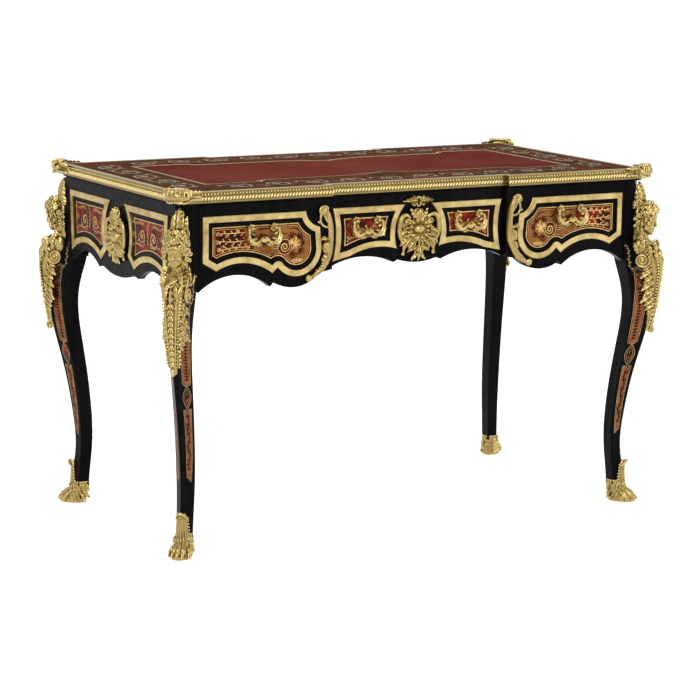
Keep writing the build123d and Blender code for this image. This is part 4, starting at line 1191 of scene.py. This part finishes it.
gadroon_pitch = 7.4
gadroon = bmesh.new()
for place, slant, radii in (((0, 0.4, 9), 28, (2.4, 2.6, 6.2, 1)), ((1, 3.4, 18), -20, (1.7, 1.5, 3.0, 1))):
    matrix = Matrix.Translation(place) @ Matrix.Rotation(radians(slant), 4, "Y") @ Matrix.Diagonal(radii)
    bmesh.ops.create_icosphere(gadroon, subdivisions=1, radius=1, matrix=matrix)
moulding_base = 756
moulding_x, moulding_y = 591, 304.5
run_end_x, run_end_y = 555, 268
front_runs = [
    ((-run_end_x, -moulding_y), (-break_half, -moulding_y)),
    ((-break_half, break_depth - moulding_y), (break_half, break_depth - moulding_y)),
    ((break_half, -moulding_y), (run_end_x, -moulding_y)),
]
for edge_side, runs in (
    ("front", front_runs), ("back", [((-b[0], -b[1]), (-a[0], -a[1])) for a, b in front_runs]),
    ("right", [((moulding_x, -run_end_y), (moulding_x, run_end_y))]),
    ("left", [((-moulding_x, run_end_y), (-moulding_x, -run_end_y))]),
):
    row = bmesh.new()
    for start, end in runs:
        start, run = Vector(start), Vector(end) - Vector(start)
        along = run.normalized()
        turn = Matrix.Rotation(atan2(along.y, along.x), 4, "Z")
        for i in range(int(run.length / gadroon_pitch)):
            spot = start + along * gadroon_pitch * (i + 0.5)
            add_copy(row, gadroon, to_metres @ Matrix.Translation((*spot, moulding_base)) @ turn)
    finished(row, f"edge_gadroons_{edge_side}", "desk", gilt_bronze, True)
gadroon.free()

# ---------------------------------------------------------------- cartouches
# Pierced gilt cartouches stand in the middle of the front, the sides and the back. A smooth boss sits
# between two scrolled shoulders, with a palmette above and a leafy pendant below.


def frond(shape, points, width, lobes=3, cup=0.35, thickness=2.0, rows=12):
    """A leaf that lies face up on a mount."""
    leaf(shape, points, upward, width, lobes, cup, thickness, rows)


def cartouche(wide, top, bottom, boss_wide, boss_tall, spire=0.0):
    """An openwork cartouche about its boss: across, up and outwards, in millimetres, cast and cut flat."""
    x_scale, up_scale, down_scale = wide / 52, top / 50, bottom / 72
    shape = bmesh.new()

    def at(across, up, out):
        return (across * x_scale, up * (up_scale if up > 0 else down_scale), out)

    def sided(side, make, points, *measures):
        """One maker's work with its points turned to a side."""
        put = [at(side * x, y, z) for x, y, z in (points if isinstance(points, list) else [points])]
        make(shape, put if isinstance(points, list) else put[0], *measures)

    ball(shape, at(0, 0, 3), (boss_wide, boss_tall, 15), 4)
    ball(shape, at(0, -2, 0), (boss_wide + 13, boss_tall + 15, 6.5))
    ring = [at((boss_wide + 4) / x_scale * cos(radians(a)), (boss_tall + 5) / up_scale * sin(radians(a)), 5)
            for a in range(0, 361, 20)]
    rod(shape, ring, 2.1, 2)
    for i in range(12):
        out = compass(15 + 30 * i)
        root = Vector((out.x * (boss_wide + 3), out.y * (boss_tall + 4), 5))
        reach = 16 - 7 * (i % 2)
        ray = [root, root + out * 4 + upward * 5, root + out * 0.65 * reach + upward * 4, root + out * reach]
        frond(shape, ray, 11, 3, 0.35, 2.2, 9)
    for i in range(7):
        out = compass(90 + 21 * (i - 3))
        length = (17 + spire) - 2.4 * abs(i - 3)
        root = Vector(at(0, 24, 4)) + out * 3
        ray = [root, root + out * length * 0.4 + upward * 6, root + out * length * 0.8 + upward * 6,
               root + out * length + upward * 2]
        frond(shape, ray, 8, 2, 0.4, 2.4, 9)
        ball(shape, root + out * (length - 3) + upward * 3, 2.6, 2)
    ball(shape, at(0, 26, 4), (13 * x_scale, 11, 7))
    ball(shape, at(0, 34 + 0.2 * spire, 2), (15 * x_scale, 11 + 0.6 * spire, 5))
    for side in both:
        shoulder = volute(at(side * 31, 15, 6), 7.5, 90 + side * 100, -side * 1.1, outward, sideward, 0.3)
        taper(shape, shoulder, 3.0, 0.05)
        sided(side, rod, [(22, 24, 4), (32, 33, 7), (46, 27, 8), (51, 6, 7), (49, -14, 6), (40, -28, 5), (31, -30, 4)],
              [3.8, 4.6, 5.6, 5.8, 5.4, 4.4, 3.0], 4)
        sided(side, rod, [(26, 30, 8), (38, 34, 11), (50, 18, 11), (52, -4, 10), (46, -22, 8)],
              [1.0, 1.4, 1.6, 1.4, 0.9])
        sided(side, rod, [(22, 3, 5), (33, 4, 7), (42, -2, 6)], [2.6, 3.0, 2.4])
        sided(side, rod, [(16, -12, 5), (29, -13, 7), (41, -18, 6)], [2.6, 3.2, 3.0])
        for centre, radii in (((40, -12, 3), (11, 14, 6)), ((26, 6, 0), (15, 20, 4.5)), ((14, -34, 1), (10, 14, 5)),
                              ((27, -30, 2), (11, 12, 6))):
            sided(side, ball, centre, (radii[0] * x_scale, *radii[1:]))
        for points, width, lobes, cup in (
            ([(20, 10, 6), (27, 14, 11), (33, 18, 9), (40, 16, 5)], 10, 3, 0.35),
            ([(26, -20, 7), (36, -22, 12), (45, -28, 9), (47, -38, 4)], 13, 3, 0.35),
            ([(12, -26, 7), (20, -30, 12), (25, -38, 9), (26, -48, 4)], 12, 3, 0.35),
            ([(30, -4, 6), (40, -2, 11), (48, -10, 9), (50, -22, 5)], 15, 4, 0.3),
            ([(18, -18, 5), (30, -22, 11), (38, -32, 9), (40, -46, 5)], 18, 4, 0.3),
            ([(6, 20, 6), (12, 28, 10), (18, 33, 9), (20, 42, 5)], 13, 3, 0.3),
        ):
            sided(side, frond, points, width, lobes, cup, 2.2)
        sided(side, ball, (20, 41, 5), 3.6, 2)
        sided(side, rod, [(8, -18, 5), (17, -28, 7), (30, -34, 6), (38, -44, 5), (40, -53, 4)],
              [3.2, 3.8, 3.8, 3.0, 2.2])
        taper(shape, volute(at(side * 38, -53, 4), 4.2, 90 - side * 90, -side * 1.1, outward, sideward), 2.2, 0.03)
        sided(side, rod, [(3, -20, 5), (12, -34, 6), (9, -46, 6), (8, -56, 5), (18, -67, 4)],
              [2.6, 2.8, 2.6, 2.4, 2.2])
        sided(side, frond, [(4, -40, 6), (14, -42, 10), (22, -44, 8), (28, -52, 4)], 13, 3, 0.3, 2.2)
        sided(side, frond, [(3, -54, 6), (8, -60, 9), (13, -66, 7), (19, -70, 4)], 8, 2, 0.3, 2.2)
    sided(1, frond, [(0, -36, 6), (0, -46, 12), (0, -58, 10), (0, -72, 4)], 13, 3, 0.3, 2.4)
    sided(1, rod, [(0, -18, 6), (0, -30, 9), (0, -42, 7)], [3.4, 2.4, 3.6])
    for i, height in enumerate((30, 38, 45) if spire else ()):
        for side in both:
            spine = [(0, height - 8, 6), (6, height - 2, 10), (9, height, 8), (12 - 2 * i, height + 4, 4)]
            sided(side, frond, spine, 9, 2, 0.3, 2.2)
    return backed(shape, 0.85)


def backed(shape, voxel, smoothing=2):
    """A casting cut off flat on the face that it is screwed to."""
    return cut(cast(shape, voxel, smoothing), (0, 0, 0), (0, 0, -1), close=True)


boss_height = 672
side_boss_height = 652
escutcheon_height = 732
boss_lift = Matrix.Translation((0, boss_height, 0))
front_casting = cartouche(52, 51, 71, 15, 11)
escutcheon = bmesh.new()
for side in both:
    rod(escutcheon, [(side * 4.6, 8.5, 2), (side * 5.8, 0, 2.6), (side * 4.4, -8.5, 2)], [3.0, 3.6, 3.0])
    ball(escutcheon, (side * 11, 0, 1), (8, 7.5, 4))
    for points, width, lobes, thickness in (
        ([(4, 1, 4), (14, 5, 9), (26, 2, 7), (40, 1, 2)], 15, 4, 2.6),
        ([(5, 4, 2), (9, 9, 5), (15, 11, 4), (20, 7, 2)], 8, 2, 2),
        ([(5, -4, 2), (9, -8, 5), (14, -9, 4), (18, -6, 2)], 8, 2, 2),
    ):
        frond(escutcheon, [(side * x, y, z) for x, y, z in points], width, lobes, 0.35, thickness)
    ball(escutcheon, (side * 37, 1, 2), 2.6, 2)
rod(escutcheon, [(-5, 8, 2), (0, 9.5, 3), (5, 8, 2)], [3, 3.4, 3])
rod(escutcheon, [(-4, -9, 2), (0, -11, 2.6), (4, -9, 2)], [2.4, 2.8, 2.4])
escutcheon_casting = backed(escutcheon, 0.6, 1)
whole = bmesh.new()
add_copy(whole, front_casting, boss_lift)
add_copy(whole, escutcheon_casting, Matrix.Translation((0, escutcheon_height, 0)))
escutcheon_casting.free()
mounted(whole, [centre_plane], "front_cartouche_casting", "middle_drawer", "middle_drawer_cartouche")
whole.free()
back_place = flip_y @ centre_plane @ boss_lift
mounted(front_casting, [back_place], "back_cartouche_casting", "desk", "back_cartouche")
front_casting.free()
side_casting = cartouche(47, 56, 60, 17, 14, 19)
side_place = side_plane @ Matrix.Translation((0, side_boss_height, 0))
mounted(side_casting, [side_place, flip_x @ side_place], "side_cartouche_castings", "desk", "side_cartouches")
side_casting.free()

# ---------------------------------------------------------------- scroll mounts
# A long gilt scroll covers the inner edge of each side drawer. Its spine is chased with slanting
# flutes, its head and foot are curled, and it is pinned to the drawer front.

hook = bmesh.new()
outer_line = [(-240, 733), (-231, 717), (-225.5, 697), (-223.5, 674), (-225, 651), (-230, 627), (-241, 604),
              (-258, 589), (-277, 581)]
spine_line = curve_through(outer_line, 40)
rod(hook, [(x - 4, z, 2) for x, z in outer_line], [6.5, 7, 6.5, 6.5, 8.5, 8.2, 6.8, 5.2, 4.6], 5)
rod(hook, [(x - 0.5, z, 7) for x, z in outer_line], [1.2, 1.5, 1.5, 1.5, 1.5, 1.5, 1.3, 1.1, 1], 5)
rod(hook, [(-253, 716, 4), (-255, 706, 5), (-252, 698, 5), (-245, 691, 5), (-234, 690, 4)],
    [3.6, 2.8, 2.6, 2.6, 3.2], 4)
rod(hook, [(-252, 702, 4), (-258, 699, 5), (-259.5, 704, 4)], [2.2, 2.4, 1.8])
rod(hook, [(-245, 718, 4), (-241, 706, 5), (-235, 700, 4)], [3.4, 2.4, 3.2])
taper(hook, volute((-247.5, 725, 5), 11.5, 20, 1.5, outward, sideward), 4.4, 0.09)
ball(hook, (-247.5, 725, 3), (10.5, 10.5, 8))
ball(hook, (-247.5, 725, 9), 3.4, 2)
for points, width, lobes in (
    ([(-233, 663, 5), (-241, 668, 9), (-250, 667, 7), (-256, 661, 3)], 12, 2),
    ([(-234, 658, 5), (-241, 654, 10), (-244, 642, 8), (-240, 628, 4)], 15, 4),
    ([(-236, 632, 5), (-243, 629, 9), (-249, 620, 7), (-248, 610, 3)], 12, 3),
    ([(-244, 606, 5), (-254, 603, 9), (-263, 596, 7), (-268, 590, 3)], 10, 3),
):
    frond(hook, points, width, lobes)
ball(hook, (-238, 646, 3), (11, 15, 9))
ball(hook, (-241, 618, 3), (9, 12, 7))
ball(hook, (-281, 583, 4), (8.5, 8, 7.5))
taper(hook, volute((-281, 584, 6), 6.5, 250, -1.3, outward, sideward), 2.6, 0.04)
for low, high in zip(spine_line[3:], spine_line[4:-2]):
    along = (high - low).normalized()
    aside = Vector((-along.y, along.x))
    start, end = low - aside * 5 - along * 1.5, low + aside * 4.5 + along * 2.5
    middle = (start + end) / 2
    rod(hook, [(start.x - 3, start.y, 5), (middle.x - 3, middle.y, 11), (end.x - 3, end.y, 6)], [1.1, 1.7, 1.2], 2)
hook_casting = backed(hook, 0.75, 1)
for side, plane in (("left", front_plane), ("right", flip_x @ front_plane)):
    drawer = f"{side}_drawer"
    mounted(hook_casting, [plane], f"{side}_scroll_casting", drawer, f"{drawer}_scroll_mount")
back_planes = [flip_y @ front_plane, flip_x @ flip_y @ front_plane]
mounted(hook_casting, back_planes, "back_scroll_castings", "desk", "back_scroll_mounts")
hook_casting.free()

# ---------------------------------------------------------------- drawer handles
# Each side drawer has one swinging bail and the middle drawer two. The bails are cast as leafy
# scrolls, and hang from pins through the eyes of two rosette posts bolted through the front.

post_half_gap, post_out = 27, 11
bail_arm = 35.5
handle_height = 697
handle_gilt = gilt_material("handle_gilt", (0.40, 0.29, 0.10), (0.84, 0.70, 0.37))
rosette = bmesh.new()
ball(rosette, (0, 0, 0), (8, 8, 3.6))
for angle in (2 * pi * i / 7 for i in range(7)):
    out = Vector((cos(angle), sin(angle), 0))
    petal = [out * reach + upward * lift for reach, lift in ((3, 2), (6, 5), (9, 4), (10.5, 0))]
    frond(rosette, petal, 7.5, 2, 0.35, 1.8, 8)
rod(rosette, [(0, 0, 1), (0, 0, 5), (0, 0, post_out)], [4.8, 2.8, 3.4])
ball(rosette, (0, 0, post_out), (4.6, 4.6, 4.8))
ball(rosette, (0, 0, post_out + 4.5), 2, 2)
rosette_casting = backed(rosette, 0.5, 1)

hanging = bmesh.new()
for side in both:
    arm = [
        (post_half_gap + 1, 0, 0), (bail_arm - 1, 0, 0), (bail_arm, -4, 0), (bail_arm + 1, -14, 0),
        (bail_arm - 2, -26, 1), (bail_arm - 13, -32, 1), (14, -29, 0), (6, -24, 0), (0, -24, 0),
    ]
    arm = [(side * x, y, post_out + z) for x, y, z in arm]
    rod(hanging, arm, [1.7, 2.2, 3.0, 3.4, 4.2, 4.2, 3.4, 3.2, 3.8], 4)
    for points, width in (
        ([(35, -10, 1), (40, -14, 3), (41, -20, 2), (38, -26, 1)], 8),
        ([(36, -18, 1), (38, -26, 4), (34, -33, 3), (26, -35, 1)], 10),
        ([(31, -8, 0), (28, -12, 2), (25, -14, 1), (22, -13, 0)], 6),
        ([(24, -32, 1), (17, -36, 4), (10, -36, 3), (4, -31, 1)], 10),
        ([(30, -26, 2), (26, -21, 4), (20, -20, 3), (16, -22, 1)], 8),
        ([(12, -27, 2), (8, -21, 4), (4, -18, 2), (0, -18, 0)], 7),
    ):
        leaf(hanging, [(side * x, y, post_out + z) for x, y, z in points], (side * 0.3, 0, 1), width, 3, 0.35, 2)
    ball(hanging, (side * 24, -32, post_out + 1), 4.2, 2)
    rod(hanging, volute((side * 29, -26, post_out + 2), 4.4, 90 - side * 60, side * 1.2, outward, sideward), 1.6, 2)
ball(hanging, (0, -26, post_out + 1), (6.5, 5, 4.4))
bail_casting = cast(hanging, 0.5, 1)

for drawer, face, bails in (
    ("left_drawer", face_y, (("left_bail", "bail", -392),)), ("right_drawer", face_y, (("right_bail", "bail", 392),)),
    ("middle_drawer", centre_y, (("middle_bail_left", "bail_left", -130), ("middle_bail_right", "bail_right", 130))),
):
    posts_at = []
    for body, node, middle in bails:
        plane = Matrix.Translation((middle, -face, handle_height)) @ upright
        posts_at += [plane @ Matrix.Translation((side * post_half_gap, 0, 0)) for side in both]
        piece = f"{drawer}_{'_'.join(reversed(node.split('_')))}_casting"
        mounted(bail_casting, [plane], piece, body, f"{drawer}_{node}", metal=handle_gilt)
    mounted(rosette_casting, posts_at, f"{drawer}_post_castings", drawer, f"{drawer}_handle_posts", metal=handle_gilt)
rosette_casting.free()
bail_casting.free()

# ---------------------------------------------------------------- drawer lock
# A brass box lock is let into the back of the middle drawer's front and screwed there. Its steel bolt
# shoots up into the top. Both are only filed and oiled, so they are browner than the mounts.

finish_nodes(["lock_case"], gilt_material("filed_brass", (0.36, 0.25, 0.09), (0.58, 0.43, 0.18)))
finish_nodes(["lock_bolt"], gilt_material("oiled_steel", (0.24, 0.235, 0.23), (0.46, 0.455, 0.45)))

# ---------------------------------------------------------------- leg marquetry
# The two outer faces of each cabriole leg carry a long shaped panel of shell and brass, an eye shaped
# lozenge and a tapering strip. They are sawn thin, glued to the bent face and scraped flush.

leg_shell = shell_material("leg_shell", (0.23, 0.033, 0.011), (0.018, 0.007, 0.004), 0.58, 0.06)
leg_brass = inlay_brass_material("leg_inlay_brass", (0.47, 0.34, 0.155), (0.27, 0.165, 0.065))
leg_copper = inlay_brass_material("leg_inlay_copper", (0.25, 0.085, 0.034), (0.13, 0.034, 0.014))
leg_face = BVHTree.FromObject(nodes["leg_front_right"], bpy.context.evaluated_depsgraph_get())
leg_work_thickness = 0.16
leg_inner_x = [(100, 541.0), (170, 538.2), (240, 541.0), (320, 548.1), (400, 557.3), (465, 561.5), (520, 556.6),
               (570, 546.7), (620, 542.0)]


def inner_edge(height):
    """Where the inner edge of a leg's face stands at a height, as a smooth line."""
    last = len(leg_inner_x) - 1
    i = max(0, min(last - 1, sum(height > z for z, _ in leg_inner_x) - 1))
    (low, a), (high, b) = leg_inner_x[i], leg_inner_x[i + 1]
    before, after = leg_inner_x[max(0, i - 1)], leg_inner_x[min(last, i + 2)]
    share = (height - low) / (high - low)
    slope_a = (b - before[1]) / (high - before[0]) * (high - low)
    slope_b = (after[1] - a) / (after[0] - low) * (high - low)
    rest = 1 - share
    ends = a * rest * rest * (1 + 2 * share) + b * share * share * (3 - 2 * share)
    return ends + slope_a * share * rest * rest - slope_b * share * share * rest


def wrap_on_leg(shape):
    """Bend flat work, drawn from the inner edge of the face and by height, round the leg's front face."""
    for level in range(150, 612, 6):
        cut(shape, (0, level, 0), (0, 1, 0), drop=False)
    lay_on(shape, to_metres.inverted(), leg_work_thickness)
    for vertex in shape.verts:
        aside, height, lift = vertex.co
        x = inner_edge(height) + aside
        hit = leg_face.ray_cast(Vector((x, -450, height)) / 1000, sideward)[0]
        vertex.co = Vector((x / 1000, (hit.y if hit else -0.3) - lift / 1000, height / 1000))


def outline_band(shape, points, width, layer=0.0):
    """A closed line along an outline, inside it. Returns the inner outline."""
    count = len(points)
    inner = []
    for i, point in enumerate(points):
        before = (Vector(point) - Vector(points[i - 1])).normalized()
        after = (Vector(points[(i + 1) % count]) - Vector(point)).normalized()
        normal = Vector((-before.y, before.x)) + Vector((-after.y, after.x))
        inner.append(Vector(point) + normal / max(0.4, normal.length_squared / 2) * width)
    rims = [[shape.verts.new((*p, layer)) for p in rim] for rim in (points, inner)]
    for i in range(count):
        j = (i + 1) % count
        shape.faces.new((rims[0][i], rims[0][j], rims[1][j], rims[1][i]))
    return inner


def set_in(points, distance):
    """An outline moved inwards."""
    scratch = bmesh.new()
    inner = outline_band(scratch, points, distance)
    scratch.free()
    return inner


# Outlines run anticlockwise, in millimetres from the inner edge of the face and from the floor.
upper_outline = [(7.5, 374), (22, 374), (29, 381), (30.5, 420), (32, 460), (34, 500), (36, 530), (33, 548), (23, 555),
                 (15, 549), (12.5, 530), (11.5, 508), (7.5, 487), (5.5, 465), (5, 420), (5.5, 380)]
eye_outline = [(17, 322.5), (21.8, 329), (26.4, 338), (29, 348.5), (26.4, 359), (21.8, 368), (17, 374.5), (12.2, 368),
               (7.6, 359), (5, 348.5), (7.6, 338), (12.2, 329)]
lower_outline = [(9, 160), (20.5, 172), (22.4, 210), (23.8, 262), (26, 300), (27.5, 322), (20.5, 322), (17.5, 317),
                 (14.5, 322), (6.5, 322), (6.5, 262), (7, 210)]
leg_grounds, leg_panels, leg_scrolls, leg_lines = (bmesh.new() for _ in range(4))
for outline in (upper_outline, eye_outline, lower_outline):
    leg_grounds.faces.new([leg_grounds.verts.new((*p, 0)) for p in outline])
    outline_band(leg_lines, outline, 1.0, 0.10)
for outline, start in ((upper_outline, 3.4), (lower_outline, 2.7)):
    inner_outline = set_in(outline, start)
    leg_panels.faces.new([leg_panels.verts.new((*p, 0.04)) for p in inner_outline])
    outline_band(leg_lines, inner_outline, 0.5, 0.11)
cut(leg_panels, (0, 500, 0), (0, 1, 0))
for shape in (leg_grounds, leg_panels):
    bmesh.ops.triangulate(shape, faces=shape.faces[:])
outline_band(leg_lines, set_in(eye_outline, 4.2), 0.6, 0.10)
for i in range(16):
    height, middle = 384 + 7.2 * i, 17.4 + 0.216 * i
    ribbon(leg_scrolls, bent_line((middle - 5, height), (middle + 5, height + 2.5), 0.3, 6), lobed(6, 4.0, 1), 0.12)
    ribbon(leg_scrolls, bent_line((middle, height + 1.5), (middle, height + 6.4), 0.1, 4), [2.2, 3.6, 3.0, 1.4], 0.13)
for i, (centre, radius, start, turns) in enumerate((
    ((24, 512), 7, 90, 1.5), ((26, 533), 8, 200, -1.6), ((17, 342), 2.8, 90, 1.1), ((17, 355), 2.8, 270, -1.1),
)):
    leaf_scroll(leg_lines, centre, radius, start, turns, 0.8, 0.12 + 0.02 * i)
tendril(leg_lines, [(12, 544), (7, 557), (8, 575), (14, 589), (12, 600), (5.5, 603)], 1.0, 0.12)
for i in range(7):
    odd, way = i % 2, 1 if i % 2 else -1
    height = 190 + 19.5 * i
    middle, reach = 14.8 + 0.016 * (height - 190), 4.2 + 0.012 * (height - 190)
    leaf_scroll(leg_scrolls, (middle, height), reach, 90 + 180 * odd, 1.4 * way, 2.6, 0.12 + 0.03 * odd)
    stem = bent_line((middle, height + reach), (middle, height + 19.5 - reach), 0.3 * way, 8)
    ribbon(leg_scrolls, stem, swelling(8, 2.0, 3.4), 0.13)

swap = Matrix(((0, -1, 0, 0), (-1, 0, 0, 0), (0, 0, 1, 0), (0, 0, 0, 1)))
post_corner = Matrix.Translation((face_x / 1000, -face_y / 1000, 0))
across_diagonal = post_corner @ swap @ post_corner.inverted()
for work, name, material in (
    (leg_grounds, "shell", leg_shell), (leg_lines, "brass", leg_brass), (leg_panels, "panel", leg_copper),
    (leg_scrolls, "scroll", black_polish),
):
    wrap_on_leg(work)
    pair = bmesh.new()
    add_copy(pair, work)
    add_copy(pair, work, across_diagonal)
    work.free()
    for corner, flip in corner_flips.items():
        copy = bmesh.new()
        add_copy(copy, pair, flip)
        finished(copy, f"leg_{name}_{corner}", "desk", material)
    pair.free()
